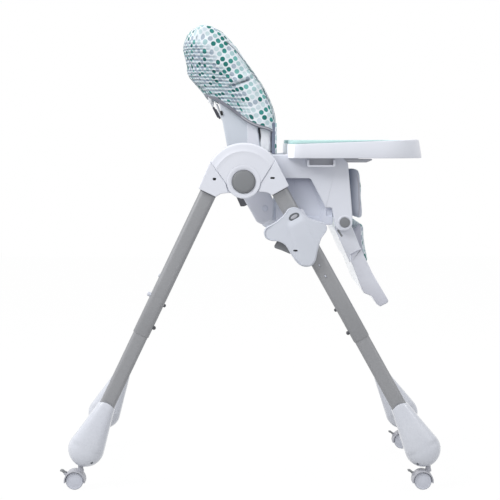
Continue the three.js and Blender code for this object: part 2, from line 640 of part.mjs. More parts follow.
// The panel is a tray, open to the front, on a barrel with a pin through each arm post.
function buildCalfPanel() {
  const side = outline([[-11, 8, 9], [panel.back, -6, 8], [panel.back + 2, -panel.length, 3],
    [panel.front - 2, -panel.length + 8, 3], [panel.front - 4, -20, 8], [11, 8, 9]]);
  const hollow = block(panel.floor, panel.front + 10,
    -calfHalf + panel.wall, calfHalf - panel.wall, -panel.length - 5, -16);
  const pins = sides.map(([, hand]) => crossPin(0, 0, calfPin, calfHalf - 1, arm.face + 1.5,
    hand, 16));
  return join(cut(slab(side, -calfHalf, calfHalf), hollow), ...pins);
}
add('calf_panel', buildCalfPanel(), whitePlastic, calf);

// The foot plate slides down out of the calf panel and ends in a lip for the feet.
const plate = { top: -panel.length - 2, bottom: -212 };
function buildFootPlate() {
  const half = calfHalf - 6;
  const side = outline([[panel.back + 5, plate.top, 3], [panel.back + 7, plate.bottom + 44, 8],
    [panel.back + 22, plate.bottom + 30, 5], [0, plate.bottom + 6, 4], [4, plate.bottom, 3],
    [28.5, plate.bottom + 2, 6], [panel.front + 1, plate.bottom + 80, 14],
    [panel.front - 2, plate.top, 3]]);
  const tongueFront = panel.floor + fit + tongueThick;
  const hollow = block(tongueFront, 60, -half + 5, half - 5, plate.bottom + 34, plate.top + 8);
  const tongue = block(panel.floor + fit, tongueFront,
    -half + 20, half - 20, plate.top - 10, -36);
  return join(cut(slab(side, -half, half), hollow), tongue);
}
add('foot_plate', buildFootPlate(), whitePlastic, calf);

const calfPadHalf = calfHalf - panel.wall - calfPadInset;
const calfPadBack = panel.floor + 2 * fit + tongueThick;
add('calf_pad', slab(outline([[panel.front - 1, -20, 4], [panel.front + 25, -13, 8],
  [panel.front + 26, -24, 6], [panel.front + 16, -50, 16], [panel.front + 10, -72, 16],
  [panel.front + 3, -114, 3], [calfPadBack + 8, -114, 4], [calfPadBack, -100, 6],
  [calfPadBack, -24, 6]]), -calfPadHalf, calfPadHalf), fabric, calf);

// ---------------------------------------------------------------- tray
// The plan of the tray: two horns past the arms, a hollow for the child and a round front.
function trayPlan(inset) {
  const half = tray.half - inset;
  const inner = trayCut.half + inset;
  return outline([[tray.back + inset, half, 34], [tray.back + inset, inner, 24],
    [trayCut.front + inset, inner - 12, 90], [trayCut.front + inset, -inner + 12, 90],
    [tray.back + inset, -inner, 24], [tray.back + inset, -half, 34],
    [tray.front - inset, -half, 110], [tray.front - inset, half, 110]]);
}

function plate3(shape, low, high, curveSegments = 4) {
  const geometry = new THREE.ExtrudeGeometry(shape, {
    depth: high - low, bevelEnabled: false, curveSegments });
  geometry.translate(0, 0, low);
  return geometry;
}

// Everything above the sloping top edge of the rim, lifted by a gap.
function aboveRim(gap) {
  const slope = Math.atan2(trayRim.front - trayRim.rear, tray.front - tray.back);
  const space = block(-400, 400, -400, 400, 0, 60);
  space.rotateY(-slope);
  space.translate((tray.back + tray.front) / 2, 0, (trayRim.rear + trayRim.front) / 2 + gap);
  return space;
}

const armChannels = sides.map(([, side]) => block(0, 320,
  Math.min(side * (arm.inner - 1.5), side * (arm.face + 1.5)),
  Math.max(side * (arm.inner - 1.5), side * (arm.face + 1.5)), tray.low - 1, arm.top + runFit));
const trayWall = cut(plate3(trayPlan(0), tray.low, trayRim.front + 5),
  plate3(trayPlan(tray.wall), tray.low - 1, trayRim.front + 6), aboveRim(0), ...armChannels);
const trayFloor = plate3(trayPlan(tray.wall - 1), tray.floor, tray.floor + tray.base);
add('tray', join(trayWall, trayFloor), whitePlastic);

// The insert sits in the tray, its rolled edge resting on the tray's rim.
const insertInset = tray.wall + runFit;
const insertWall = 3;
const insertLow = tray.floor + tray.base + fit;
const insertDish = cut(plate3(trayPlan(insertInset), insertLow, insertTop),
  plate3(trayPlan(insertInset + insertWall), insertLow + insertWall, insertTop + 1));
const insertEdge = join(cut(plate3(trayPlan(2), trayRim.rear - 1, insertTop),
  plate3(trayPlan(insertInset + 1), trayRim.rear - 2, insertTop + 1)));
const belowRim = plate3(trayPlan(-5), tray.low, trayRim.front + 20);
add('tray_insert', join(insertDish, cut(insertEdge, cut(belowRim, aboveRim(fit)))), mintPlastic);

// The tray latches: U-shaped handles under the tray, pulled outwards to free it.
for (const [tag, side] of sides) {
  const frame = slab(outline([[latch.back, latch.low, 4], [latch.front, latch.low, 4],
    [latch.front, latch.top], [latch.front - latch.bar, latch.top],
    [latch.front - latch.bar, latch.low + latch.bar], [latch.back + latch.bar, latch.low + latch.bar],
    [latch.back + latch.bar, latch.top], [latch.back, latch.top]]), latch.inner, latch.outer, side);
  const web = slab(outline([[latch.back + 2, latch.low + 2], [latch.front - 2, latch.low + 2],
    [latch.front - 2, tray.floor - fit], [latch.back + 2, tray.floor - fit]]), latch.inner + 8,
  latch.inner + 12, side);
  add(`tray_latch_${tag}`, join(frame, web), whitePlastic);
}

// The origin: on the floor, under the middle of the chair's outer box.
const extent = new THREE.Box3().setFromObject(chair, true);
chair.position.set(-(extent.min.x + extent.max.x) / 2, 0, -extent.min.z);

export default chair;
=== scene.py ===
import json
import math

import bmesh
import bpy
from mathutils import Matrix, Vector, noise
from mathutils.bvhtree import BVHTree


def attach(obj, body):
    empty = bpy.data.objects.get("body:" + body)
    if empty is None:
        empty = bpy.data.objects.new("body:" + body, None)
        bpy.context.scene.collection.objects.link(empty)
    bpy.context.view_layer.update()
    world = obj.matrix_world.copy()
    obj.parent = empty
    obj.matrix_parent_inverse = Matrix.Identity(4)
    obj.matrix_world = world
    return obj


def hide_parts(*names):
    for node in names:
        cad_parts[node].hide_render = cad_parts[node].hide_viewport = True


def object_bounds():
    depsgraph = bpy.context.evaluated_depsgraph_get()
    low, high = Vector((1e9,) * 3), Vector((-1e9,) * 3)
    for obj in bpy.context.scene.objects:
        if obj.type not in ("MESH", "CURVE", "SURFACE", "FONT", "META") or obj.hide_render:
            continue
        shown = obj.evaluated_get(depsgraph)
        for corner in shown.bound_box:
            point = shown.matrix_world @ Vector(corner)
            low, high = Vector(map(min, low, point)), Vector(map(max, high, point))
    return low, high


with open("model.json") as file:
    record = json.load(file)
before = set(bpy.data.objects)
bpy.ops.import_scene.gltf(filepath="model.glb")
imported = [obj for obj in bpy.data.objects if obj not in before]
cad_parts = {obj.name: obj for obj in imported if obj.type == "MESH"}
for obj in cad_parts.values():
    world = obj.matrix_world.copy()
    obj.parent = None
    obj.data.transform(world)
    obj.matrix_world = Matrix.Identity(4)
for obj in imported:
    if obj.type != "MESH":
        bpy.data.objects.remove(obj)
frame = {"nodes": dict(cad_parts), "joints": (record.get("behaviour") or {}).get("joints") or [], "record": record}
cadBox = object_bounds()
mm = 0.001
castFrom = 0.3  # metres from the middle, outside every piece: where a ray towards a surface starts
sides = (("R", -1), ("L", 1))


def jointPlace(name):
    return Vector(next(j["pos_m"] for j in frame["joints"] if j["name"] == name))


def addNode(tree, kind, values=None, **settings):
    node = tree.nodes.new(kind)
    for name, value in settings.items():
        setattr(node, name, value)
    setInputs(node, values or {})
    return node


def setInputs(node, values):
    for socket, value in values.items():
        node.inputs[socket].default_value = value


def wire(tree, *rows):
    for source, output, target, socket in rows:
        tree.links.new(source.outputs[output], target.inputs[socket])


def placed(name, data, place=(0, 0, 0)):
    thing = bpy.data.objects.new(name, data)
    thing.location = place
    bpy.context.scene.collection.objects.link(thing)
    return thing


# stage: camera at the chair's right side, soft even light, pale floor
# each lamp: name, watts, size, place, what it aims at
stage = {"distance": 3.917, "height": 0.8, "aside": -0.018, "tiltDeg": 3.86, "lensMm": 117.36,
         "shift": (0.0149, -0.0062), "sky": 0.7, "skyColor": (0.97, 0.98, 1, 1),
         "bounce": 0.45, "floorSize": 14, "floorWhite": 0.93, "floorGlow": 1.04, "lamps": (
             ("key", 68, 1.8, (-2.0, -1.8, 2.9), (0, 0, 0.7)),
             ("fill", 8, 2.5, (2.4, -2.2, 1.5), (0, 0, 0.6)),
             ("top", 26, 2.5, (0.2, 1.2, 3.0), (0, 0, 0.6)),
             ("glint1", 6, 0.5, (2.4, -1.7, 2.1), (0, 0, 0.3)),
             ("glint-1", 6, 0.5, (-2.4, -1.7, 2.1), (0, 0, 0.3)),
             ("rim", 3, 1.6, (-2.6, 0.5, 0.9), (0, 0, 0.55)))}


def seenDirectly(tree):
    rays = addNode(tree, "ShaderNodeLightPath")
    total = rays.outputs["Is Camera Ray"]
    for kind in ("Is Glossy Ray", "Is Transmission Ray"):
        higher = addNode(tree, "ShaderNodeMath", operation="MAXIMUM")
        tree.links.new(total, higher.inputs[0])
        tree.links.new(rays.outputs[kind], higher.inputs[1])
        total = higher.outputs[0]
    return total


def buildStage():
    scene = bpy.context.scene
    scene.view_settings.view_transform = "Standard"
    camera = bpy.data.cameras.new("sideCamera")
    camera.sensor_width = 36
    camera.lens = stage["lensMm"]
    camera.shift_x, camera.shift_y = stage["shift"]
    scene.camera = placed("sideCamera", camera, (stage["aside"], -stage["distance"], stage["height"]))
    scene.camera.rotation_euler = (math.radians(90 - stage["tiltDeg"]), 0, 0)
    for name, watts, size, place, aim in stage["lamps"]:
        lamp = bpy.data.lights.new(name, "AREA")
        lamp.energy = watts
        lamp.size = size
        turn = (Vector(aim) - Vector(place)).to_track_quat("-Z", "Y")
        placed(name, lamp, place).rotation_euler = turn.to_euler()

    world = bpy.data.worlds.new("studio")
    scene.world = world
    world.use_nodes = True
    tree = world.node_tree
    light = tree.nodes["Background"]
    setInputs(light, {"Color": stage["skyColor"], "Strength": stage["sky"]})
    seen = addNode(tree, "ShaderNodeBackground", {"Color": (1, 1, 1, 1)})
    pick = addNode(tree, "ShaderNodeMixShader")
    tree.links.new(seenDirectly(tree), pick.inputs["Fac"])
    wire(tree, (light, 0, pick, 1), (seen, 0, pick, 2),
         (pick, 0, tree.nodes["World Output"], "Surface"))

    bpy.ops.mesh.primitive_plane_add(size=stage["floorSize"], location=(0, 0, cadBox[0][2] - 0.0005))
    floor = bpy.context.object
    floor.name = "floor"
    paint = bpy.data.materials.new("floorPaint")
    paint.use_nodes = True
    tree = paint.node_tree
    surface = tree.nodes["Principled BSDF"]
    setInputs(surface, {"Base Color": (*[stage["bounce"]] * 3, 1), "Roughness": 0.9})
    glow = addNode(tree, "ShaderNodeEmission", {"Strength": stage["floorGlow"]})
    clear = addNode(tree, "ShaderNodeMixShader", {"Fac": stage["floorWhite"]})
    pick = addNode(tree, "ShaderNodeMixShader")
    tree.links.new(seenDirectly(tree), pick.inputs["Fac"])
    wire(tree, (surface, 0, clear, 1), (glow, 0, clear, 2), (surface, 0, pick, 1), (clear, 0, pick, 2),
         (pick, 0, tree.nodes["Material Output"], "Surface"))
    floor.data.materials.append(paint)


buildStage()
print("stage is set")


# materials
def linear(hexColor):
    values = [int(hexColor[i:i + 2], 16) / 255 for i in (1, 3, 5)]
    return (*[v / 12.92 if v <= 0.04045 else ((v + 0.055) / 1.055) ** 2.4 for v in values], 1)


def newMaterial(name):
    material = bpy.data.materials.new(name)
    material.use_nodes = True
    tree = material.node_tree
    return material, tree, tree.nodes["Principled BSDF"], tree.nodes.new("ShaderNodeTexCoord")


def addNoise(tree, coords, scale, detail=3, stretch=None):
    texture = addNode(tree, "ShaderNodeTexNoise", {"Scale": scale, "Detail": detail})
    if stretch:
        mapping = addNode(tree, "ShaderNodeMapping", {"Scale": stretch})
        tree.links.new(coords, mapping.inputs["Vector"])
        coords = mapping.outputs["Vector"]
    tree.links.new(coords, texture.inputs["Vector"])
    return texture.outputs["Fac"]


def addRange(tree, value, low, high, fromLow=0.3, fromHigh=0.7):
    spread = addNode(tree, "ShaderNodeMapRange", {"From Min": fromLow, "From Max": fromHigh,
                                                  "To Min": low, "To Max": high})
    tree.links.new(value, spread.inputs["Value"])
    return spread.outputs["Result"]


def addBump(tree, height, surface, strength, distance, below=None):
    bump = addNode(tree, "ShaderNodeBump", {"Strength": strength, "Distance": distance})
    tree.links.new(height, bump.inputs["Height"])
    if below:
        tree.links.new(below, bump.inputs["Normal"])
    tree.links.new(bump.outputs["Normal"], surface.inputs["Normal"])
    return bump.outputs["Normal"]


def mixColors(tree, factor, first, second, blend="MIX"):
    mix = addNode(tree, "ShaderNodeMix", data_type="RGBA", blend_type=blend)
    tree.links.new(factor, mix.inputs["Factor"])
    for socket, color in (("A", first), ("B", second)):
        target = next(s for s in mix.inputs if s.name == socket and s.type == "RGBA")
        if isinstance(color, tuple):
            target.default_value = color
        else:
            tree.links.new(color, target)
    return next(s for s in mix.outputs if s.type == "RGBA")


def mouldedPlastic(name, color, shade, roughness, grain=1400, depth=0.06, extra=None):
    material, tree, surface, coords = newMaterial(name)
    place = coords.outputs["Object"]
    cloudy = addRange(tree, addNoise(tree, place, 9), 0, 1)
    tree.links.new(mixColors(tree, cloudy, linear(color), linear(shade)), surface.inputs["Base Color"])
    rough = addRange(tree, addNoise(tree, place, 60), roughness - 0.05, roughness + 0.06)
    tree.links.new(rough, surface.inputs["Roughness"])
    addBump(tree, addNoise(tree, place, grain, 2), surface, depth, 0.0004)
    setInputs(surface, {"Specular IOR Level": 0.45, **(extra or {})})
    return material


# painted light and shade: the colour goes from lowColor to highColor with height
def heightShadedPlastic(name, lowColor, highColor, low, high, roughness=0.42):
    material = mouldedPlastic(name, lowColor, lowColor, roughness)
    tree = material.node_tree
    split = addNode(tree, "ShaderNodeSeparateXYZ")
    wire(tree, (tree.nodes["Texture Coordinate"], "Object", split, "Vector"))
    rise = addRange(tree, split.outputs["Z"], 0, 1, low, high)
    color = mixColors(tree, rise, linear(lowColor), linear(highColor))
    tree.links.new(color, tree.nodes["Principled BSDF"].inputs["Base Color"])
    return material


# painted light: a faint emission on a plastic that is no lamp
def paintedGlow(strength):
    return {"Emission Color": (0.95, 0.97, 1, 1), "Emission Strength": strength}


def paintedTube(name, color, shade):
    material, tree, surface, coords = newMaterial(name)
    place = coords.outputs["Object"]
    fleck = addRange(tree, addNoise(tree, place, 700, 2), 0, 1)
    tree.links.new(mixColors(tree, fleck, linear(color), linear(shade)), surface.inputs["Base Color"])
    surface.inputs["Metallic"].default_value = 0.25
    tree.links.new(addRange(tree, addNoise(tree, place, 40), 0.36, 0.5), surface.inputs["Roughness"])
    addBump(tree, addNoise(tree, place, 900, 2), surface, 0.08, 0.0003)
    return material


def brushedSteel(name, color):
    material, tree, surface, coords = newMaterial(name)
    place = coords.outputs["Object"]
    lines = addNoise(tree, place, 220, 3, (1, 18, 1))
    tree.links.new(mixColors(tree, lines, linear(color), linear("#8d9095")), surface.inputs["Base Color"])
    surface.inputs["Metallic"].default_value = 0.9
    tree.links.new(addRange(tree, lines, 0.25, 0.42), surface.inputs["Roughness"])
    return material


whitePlastic = mouldedPlastic("whitePlastic", "#dfe1e9", "#dadde6", 0.4)
# painted shade: a darker copy of the white plastic, for the slider cover lower down where less light falls
paintedShadePlastic = mouldedPlastic("paintedShadePlastic", "#cfd3dc", "#c9cdd7", 0.4)
# painted shade: the foot plate darker towards its bottom
platePaintedShade = heightShadedPlastic("platePaintedShade", "#c6c7d1", "#dcdee7", 0.41, 0.47, 0.4)
# painted shade: darker than the white plastic for the feet low down, where less light falls; the glossy coat is
# their own finish
footPlastic = mouldedPlastic("footPlastic", "#d2d5dd", "#cccfd8", 0.28,
                             extra={"Coat Weight": 0.85, "Coat Roughness": 0.12})
# painted light: a lighter copy of the white plastic for the tray
trayPaintedLight = mouldedPlastic("trayPaintedLight", "#e5e7ef", "#e0e3eb", 0.36)
# painted shade: the seat shell darker towards the top, under the arms
seatPaintedShade = heightShadedPlastic("seatPaintedShade", "#dadeea", "#8e92a4", 0.63, 0.715)
# painted light and shade: the back shell lighter low down, where its lobe sits in shade, and darker higher up
backPaintedShading = heightShadedPlastic("backPaintedShading", "#e2e4ee", "#cbd1da", 0.66, 0.78)
# painted light: glowing white for the rear faces of the calf panel and the foot plate
paintedLightPlastic = mouldedPlastic("paintedLightPlastic", "#ffffff", "#fafbfd", 0.6, extra=paintedGlow(0.3))
# painted light: glowing near-white for the tray's rear faces
trayEndPaintedLight = mouldedPlastic("trayEndPaintedLight", "#f6f7fa", "#f2f3f7", 0.6, extra=paintedGlow(0.14))
# the tray rails' own grey; on the latch webs the same grey is painted shade under the tray
railGreyAndShade = mouldedPlastic("railGreyAndShade", "#c4c5ca", "#bebfc5", 0.45)
greyPlastic = mouldedPlastic("greyPlastic", "#828487", "#7b7d80", 0.5)
hoodPlastic = mouldedPlastic("hoodPlastic", "#b5b6bd", "#adaeb5", 0.42)
rimPlastic = mouldedPlastic("rimPlastic", "#666a6f", "#5d6166", 0.45)
darkPlastic = mouldedPlastic("darkPlastic", "#55565b", "#4a4b50", 0.5)
# near black: painted shade inside the screw slots, and the strap slide's own black
holeShadeAndBlackPlastic = mouldedPlastic("holeShadeAndBlackPlastic", "#141517", "#0f1012", 0.7)
wheelPlastic = mouldedPlastic("wheelPlastic", "#ced1da", "#c6c9d4", 0.45)
mintPlastic = mouldedPlastic("mintPlastic", "#bfe1df", "#b7dcda", 0.3, depth=0.03)
tubePaint = paintedTube("tubePaint", "#9b9c9f", "#909194")
screwSteel = brushedSteel("screwSteel", "#b4b6ba")
print("plastic and metal finishes are made")

# the chair's own frame: millimetres on its drawing, put where the model says
hub = {"x": -17, "z": 700}
shift = jointPlace("fold").x / mm - hub["x"]
chairFrame = Matrix.Scale(mm, 4) @ Matrix.Translation((shift, 0, 0))
leg = {"plane": 245, "offset": 60.5, "mouth": -58}
lean = {"front": math.radians(-29.1), "rear": math.radians(25.6)}
forward = {"front": 1, "rear": -1}


def legFrame(end):
    return chairFrame @ Matrix.Translation((hub["x"], 0, hub["z"])) @ Matrix.Rotation(lean[end], 4, "Y")


# shape helpers: outlines are (x, z, corner radius), levels are (inset, reach)
def outline(corners, steps=6, soft=False):
    points = []
    for index, corner in enumerate(corners):
        here = Vector(corner[:2])
        radius = corner[2] if len(corner) > 2 else 0
        before = Vector(corners[index - 1][:2]) - here
        after = Vector(corners[(index + 1) % len(corners)][:2]) - here
        half = before.angle(after) / 2
        reach = min(radius / max(math.tan(half), 1e-3), before.length * 0.49, after.length * 0.49)
        if reach < 0.05 or half > 1.55:
            points.append(here)
            continue
        start = here + before.normalized() * reach
        end = here + after.normalized() * reach
        middle = here + (before.normalized() + after.normalized()).normalized() * reach / math.cos(half)
        for step in range(steps + 1):
            if soft:
                t = step / steps
                points.append(start * (1 - t) ** 2 + here * 2 * t * (1 - t) + end * t * t)
                continue
            spoke = (start - middle).lerp(end - middle, step / steps)
            points.append(middle + spoke.normalized() * reach * math.tan(half))
    return points


def inset(points, distance):
    following = points[1:] + points[:1]
    area = sum(a.x * b.y - b.x * a.y for a, b in zip(points, following))
    turn = 1 if area > 0 else -1
    moved = []
    for index, here in enumerate(points):
        arriving = (here - points[index - 1]).normalized()
        leaving = (following[index] - here).normalized()
        normal = Vector((-(arriving.y + leaving.y), arriving.x + leaving.x)) * turn
        moved.append(here + normal * (2 * distance / max(normal.length_squared, 1)))
    return moved


def roundedLevels(near, far, nearEdge, farEdge, steps=4):
    levels = []
    for step in range(steps + 1 if nearEdge else 1):
        angle = math.pi / 2 * step / steps
        levels.append((nearEdge * (1 - math.sin(angle)), near + nearEdge * (1 - math.cos(angle))))
    for step in range(steps + 1 if farEdge else 1):
        angle = math.pi / 2 * step / steps
        levels.append((farEdge * (1 - math.cos(angle)), far - farEdge * (1 - math.sin(angle))))
    return levels


def skin(bm, rings, wrap=False):
    count = len(rings[0])
    pairs = list(zip(rings, rings[1:]))
    if wrap:
        pairs.append((rings[-1], rings[0]))
    for first, second in pairs:
        for index in range(count):
            after = (index + 1) % count
            bm.faces.new((first[index], first[after], second[after], second[index]))
    if not wrap:
        for ring in (rings[0], rings[-1]):
            bm.faces.new(ring)


def addPrism(bm, points, levels, matrix, side=1):
    rings = [[bm.verts.new(matrix @ Vector((p.x, side * reach, p.y))) for p in inset(points, edge)]
             for edge, reach in levels]
    skin(bm, rings)


def addLathe(bm, profile, matrix, x, z, side=1, count=48, wrap=False):
    turns = [math.tau * step / count for step in range(count)]
    skin(bm, [[bm.verts.new(matrix @ Vector((x + radius * math.cos(a), side * reach,
                                             z + radius * math.sin(a)))) for a in turns]
              for radius, reach in profile], wrap)


def roundProfile(radius, near, far, nearEdge, farEdge, steps=4, dome=0):
    profile = [(radius - edge, reach)
               for edge, reach in roundedLevels(near, far, nearEdge, farEdge, steps)]
    if dome:
        top = radius - farEdge
        profile += [(top * math.cos(math.pi / 2 * step / 8), far + dome * math.sin(math.pi / 2 * step / 8))
                    for step in range(1, 8)]
    return profile


def addSweep(bm, path, section, upward=(0, 0, 1)):
    rings = []
    for index, here in enumerate(path):
        ahead = path[min(index + 1, len(path) - 1)] - path[max(index - 1, 0)]
        across = ahead.cross(Vector(upward)).normalized()
        over = across.cross(ahead).normalized()
        rings.append([bm.verts.new(here + across * a + over * b) for a, b in section])
    skin(bm, rings)


def circleSection(radius, count=12):
    return [(radius * math.cos(math.tau * i / count), radius * math.sin(math.tau * i / count))
            for i in range(count)]


def newObject(name, bm, material):
    bmesh.ops.remove_doubles(bm, verts=bm.verts, dist=1e-6)
    bmesh.ops.recalc_face_normals(bm, faces=bm.faces)
    mesh = bpy.data.meshes.new(name)
    bm.to_mesh(mesh)
    bm.free()
    mesh.materials.append(material)
    return placed(name, mesh)


def prismPiece(name, material, points, levels, matrix, side=1):
    bm = bmesh.new()
    addPrism(bm, points, levels, matrix, side)
    return newObject(name, bm, material)


def lathePiece(name, material, profile, matrix, x, z, side=1, count=48):
    bm = bmesh.new()
    addLathe(bm, profile, matrix, x, z, side, count)
    return newObject(name, bm, material)


def reopened(piece):
    bm = bmesh.new()
    bm.from_mesh(piece.data)
    return bm


def putBack(bm, piece):
    bm.to_mesh(piece.data)
    bm.free()


def cutAway(piece, tool):
    cutter = newObject("cutter", tool, whitePlastic)
    cut = piece.modifiers.new("cut", "BOOLEAN")
    cut.operation = "DIFFERENCE"
    cut.solver = "EXACT"
    cut.object = cutter
    applyModifiers(piece)
    bpy.data.objects.remove(cutter)


def cutPrism(piece, points, levels, matrix, side=1):
    tool = bmesh.new()
    addPrism(tool, points, levels, matrix, side)
    cutAway(piece, tool)


def surfaceOf(piece):
    mesh = piece.data
    return BVHTree.FromPolygons([v.co for v in mesh.vertices], [tuple(p.vertices) for p in mesh.polygons])


def surfacePoint(surface, start, direction, lift=0.3):
    place, normal, face, distance = surface.ray_cast(start, direction)
    return (place + normal * lift * mm, normal) if place else (None, None)


def applyModifiers(piece):
    graph = bpy.context.evaluated_depsgraph_get()
    mesh = bpy.data.meshes.new_from_object(piece.evaluated_get(graph))
    piece.modifiers.clear()
    old = piece.data
    piece.data = mesh
    mesh.name = piece.name
    bpy.data.meshes.remove(old)


def shadeByAngle(piece, degrees=38):
    mesh = piece.data
    mesh.shade_smooth()
    mesh.set_sharp_from_angle(angle=math.radians(degrees))
    for polygon in mesh.polygons:
        polygon.use_smooth = len(polygon.vertices) <= 4


def settle(piece, body, slot, *nodes, degrees=38):
    shadeByAngle(piece, degrees)
    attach(piece, body)
    if nodes:
        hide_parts(*nodes)
    return piece


# leg tubes: oval, painted, with pin holes up the front legs
legTube = {"wide": 38, "thick": 20, "wall": 1.2, "step": 1.5, "socketGrip": 42, "insetIn": 70,
           "footGrip": 62, "front": {"seam": -441, "foot": -618}, "rear": {"seam": -413, "foot": -592},
           "pinAbove": 26, "pinRadius": 4.5, "pinReach": 6}
pinHoles = {"first": -276, "pitch": 28, "count": 6, "radius": 2, "long": 2.2, "aside": -3, "depth": 6,
            "lugGap": 0.3, "lugDeep": 2.5}


def ovalRing(wide, thick, height, matrix, y, bm, arcSteps=10):
    end = thick / 2
    straight = wide / 2 - end
    ring = []
    for turn in (0, 1):
        for step in range(arcSteps + 1):
            angle = math.pi * (turn - 0.5 + step / arcSteps)
            middle = straight if turn == 0 else -straight
            ring.append(bm.verts.new(matrix @ Vector((
                middle + end * math.cos(angle), y + end * math.sin(angle), height))))
    return ring


def buildTube(name, matrix, y, wide, thick, low, high):
    wall = legTube["wall"]
    bm = bmesh.new()
    inner = 2 * wall
    rings = [ovalRing(wide - inner, thick - inner, high, matrix, y, bm),
             ovalRing(wide, thick, high, matrix, y, bm)]
    rings += [ovalRing(wide, thick, low + (high - low) * t, matrix, y, bm) for t in (0.66, 0.33)]
    rings += [ovalRing(wide, thick, low + 0.5, matrix, y, bm),
              ovalRing(wide - 0.6, thick - 0.6, low, matrix, y, bm),
              ovalRing(wide - inner, thick - inner, low, matrix, y, bm)]
    skin(bm, rings, wrap=True)
    return newObject(name, bm, tubePaint)


def newTree(name, *inputs):
    tree = bpy.data.node_groups.new(name, "GeometryNodeTree")
    tree.is_modifier = True
    for label, kind in (("Geometry", "Geometry"), *inputs):
        tree.interface.new_socket(label, in_out="INPUT", socket_type="NodeSocket" + kind)
    tree.interface.new_socket("Geometry", in_out="OUTPUT", socket_type="NodeSocketGeometry")
    return tree, addNode(tree, "NodeGroupInput"), addNode(tree, "NodeGroupOutput")


def pinHoleTree():
    tree, given, result = newTree(
        "pinHoles", ("First", "Vector"), ("Step", "Vector"), ("Turn", "Vector"), ("Count", "Int"),
        ("Radius", "Float"), ("Depth", "Float"), ("Stretch", "Vector"), ("Paint", "Material"))
    row = addNode(tree, "GeometryNodeMeshLine", mode="OFFSET")
    drill = addNode(tree, "GeometryNodeMeshCylinder", {"Vertices": 20})
    stamp = addNode(tree, "GeometryNodeInstanceOnPoints")
    real = addNode(tree, "GeometryNodeRealizeInstances")
    cut = addNode(tree, "GeometryNodeMeshBoolean", operation="DIFFERENCE", solver="EXACT")
    paint = addNode(tree, "GeometryNodeSetMaterial")
    wire(tree, (given, "First", row, "Start Location"), (given, "Step", row, "Offset"),
         (given, "Count", row, "Count"), (given, "Radius", drill, "Radius"),
         (given, "Depth", drill, "Depth"), (row, "Mesh", stamp, "Points"),
         (drill, "Mesh", stamp, "Instance"), (given, "Turn", stamp, "Rotation"),
         (given, "Stretch", stamp, "Scale"), (stamp, "Instances", real, "Geometry"),
         (given, "Geometry", cut, "Mesh 1"), (real, "Geometry", cut, "Mesh 2"),
         (cut, "Mesh", paint, "Geometry"), (given, "Paint", paint, "Material"),
         (paint, "Geometry", result, "Geometry"))
    return tree


def runTree(piece, tree, **values):
    modifier = piece.modifiers.new(tree.name, "NODES")
    modifier.node_group = tree
    for item in tree.interface.items_tree:
        if item.in_out == "INPUT" and item.name in values:
            modifier[item.identifier] = values[item.name]
    finish = piece.data.materials[0]
    applyModifiers(piece)
    piece.data.materials.clear()
    piece.data.materials.append(finish)
    for polygon in piece.data.polygons:
        polygon.material_index = 0


def buildPinRow(upper, matrix, tag, side, drillHoles):
    aside, first, radius = pinHoles["aside"], pinHoles["first"], pinHoles["radius"]
    reach = leg["plane"] + legTube["thick"] / 2
    runTree(upper, drillHoles, First=matrix @ Vector((aside, side * reach, first)),
            Step=matrix.to_3x3() @ Vector((0, 0, pinHoles["pitch"])),
            Turn=Vector((math.pi / 2, lean["front"], 0)), Count=pinHoles["count"],
            Radius=radius * mm, Depth=pinHoles["depth"] * mm,
            Stretch=Vector((1, pinHoles["long"], 1)), Paint=tubePaint)
    bm = bmesh.new()
    short = radius - pinHoles["lugGap"]
    for row in range(pinHoles["count"]):
        middle = first + row * pinHoles["pitch"]
        lug = [Vector((aside + short * math.cos(a), middle + short * pinHoles["long"] * math.sin(a)))
               for a in (math.tau * i / 24 for i in range(24))]
        addPrism(bm, lug, roundedLevels(reach - pinHoles["lugDeep"], reach - 0.2, 0, 0.5), matrix, side)
    settle(newObject(f"pinRow{tag}", bm, wheelPlastic), "front_frame", "white_plastic")


def buildLegs():
    drillHoles = pinHoleTree()
    wide, thick, step = legTube["wide"], legTube["thick"], 2 * legTube["step"]
    for tag, side in sides:
        for end in ("front", "rear"):
            matrix = legFrame(end) @ Matrix.Translation((forward[end] * leg["offset"], 0, 0))
            seam, footTop = legTube[end]["seam"], legTube[end]["foot"]
            y = side * leg["plane"]
            upper = buildTube(f"{end}LegUpper{tag}", matrix, y, wide, thick, seam,
                              leg["mouth"] + legTube["socketGrip"])
            if end == "front":
                buildPinRow(upper, matrix, tag, side, drillHoles)
            settle(upper, f"{end}_frame", "painted_tube", f"{end}_leg_upper_{tag}")
            lower = buildTube(f"{end}LegLower{tag}", matrix, y, wide - step, thick - step,
                              footTop - legTube["footGrip"], seam + legTube["insetIn"])
            settle(lower, f"{end}_frame", "painted_tube", f"{end}_leg_lower_{tag}")

            across = Matrix.Rotation(-forward[end] * math.pi / 2, 4, "Z")
            reach = wide / 2 + legTube["pinReach"]
            pin = lathePiece(f"{end}SnapPin{tag}", darkPlastic,
                             roundProfile(legTube["pinRadius"], wide / 4, reach - 1, 0, 2, dome=1),
                             matrix @ Matrix.Translation((0, y, 0)) @ across, 0,
                             seam + legTube["pinAbove"], -1, 24)
            settle(pin, f"{end}_frame", "dark_plastic")


# feet: smooth teardrops on the ends of the legs, and the bars between them
footShape = {"neck": 20, "round": 41, "centre": -111, "neckDepth": 15.5, "depth": 28, "square": 2.7,
             "lip": 1.6, "bend": -6, "well": (17.8, 8.9, 3), "wellDeep": 14, "around": 56}
crossbar = {"radius": 12, "half": 234}


def footSection(bm, matrix, side, half, depth, height, square, lipBend):
    ring = []
    for step in range(footShape["around"]):
        angle = math.tau * step / footShape["around"]
        c, s = math.cos(angle), math.sin(angle)
        x = half * math.copysign(abs(c) ** (2 / square), c)
        y = depth * math.copysign(abs(s) ** (2 / square), s)
        bend = lipBend * (1 - abs(x / half) ** 2) if half else 0
        ring.append(bm.verts.new(matrix @ Vector((x, side * leg["plane"] + y, height - bend))))
    return ring


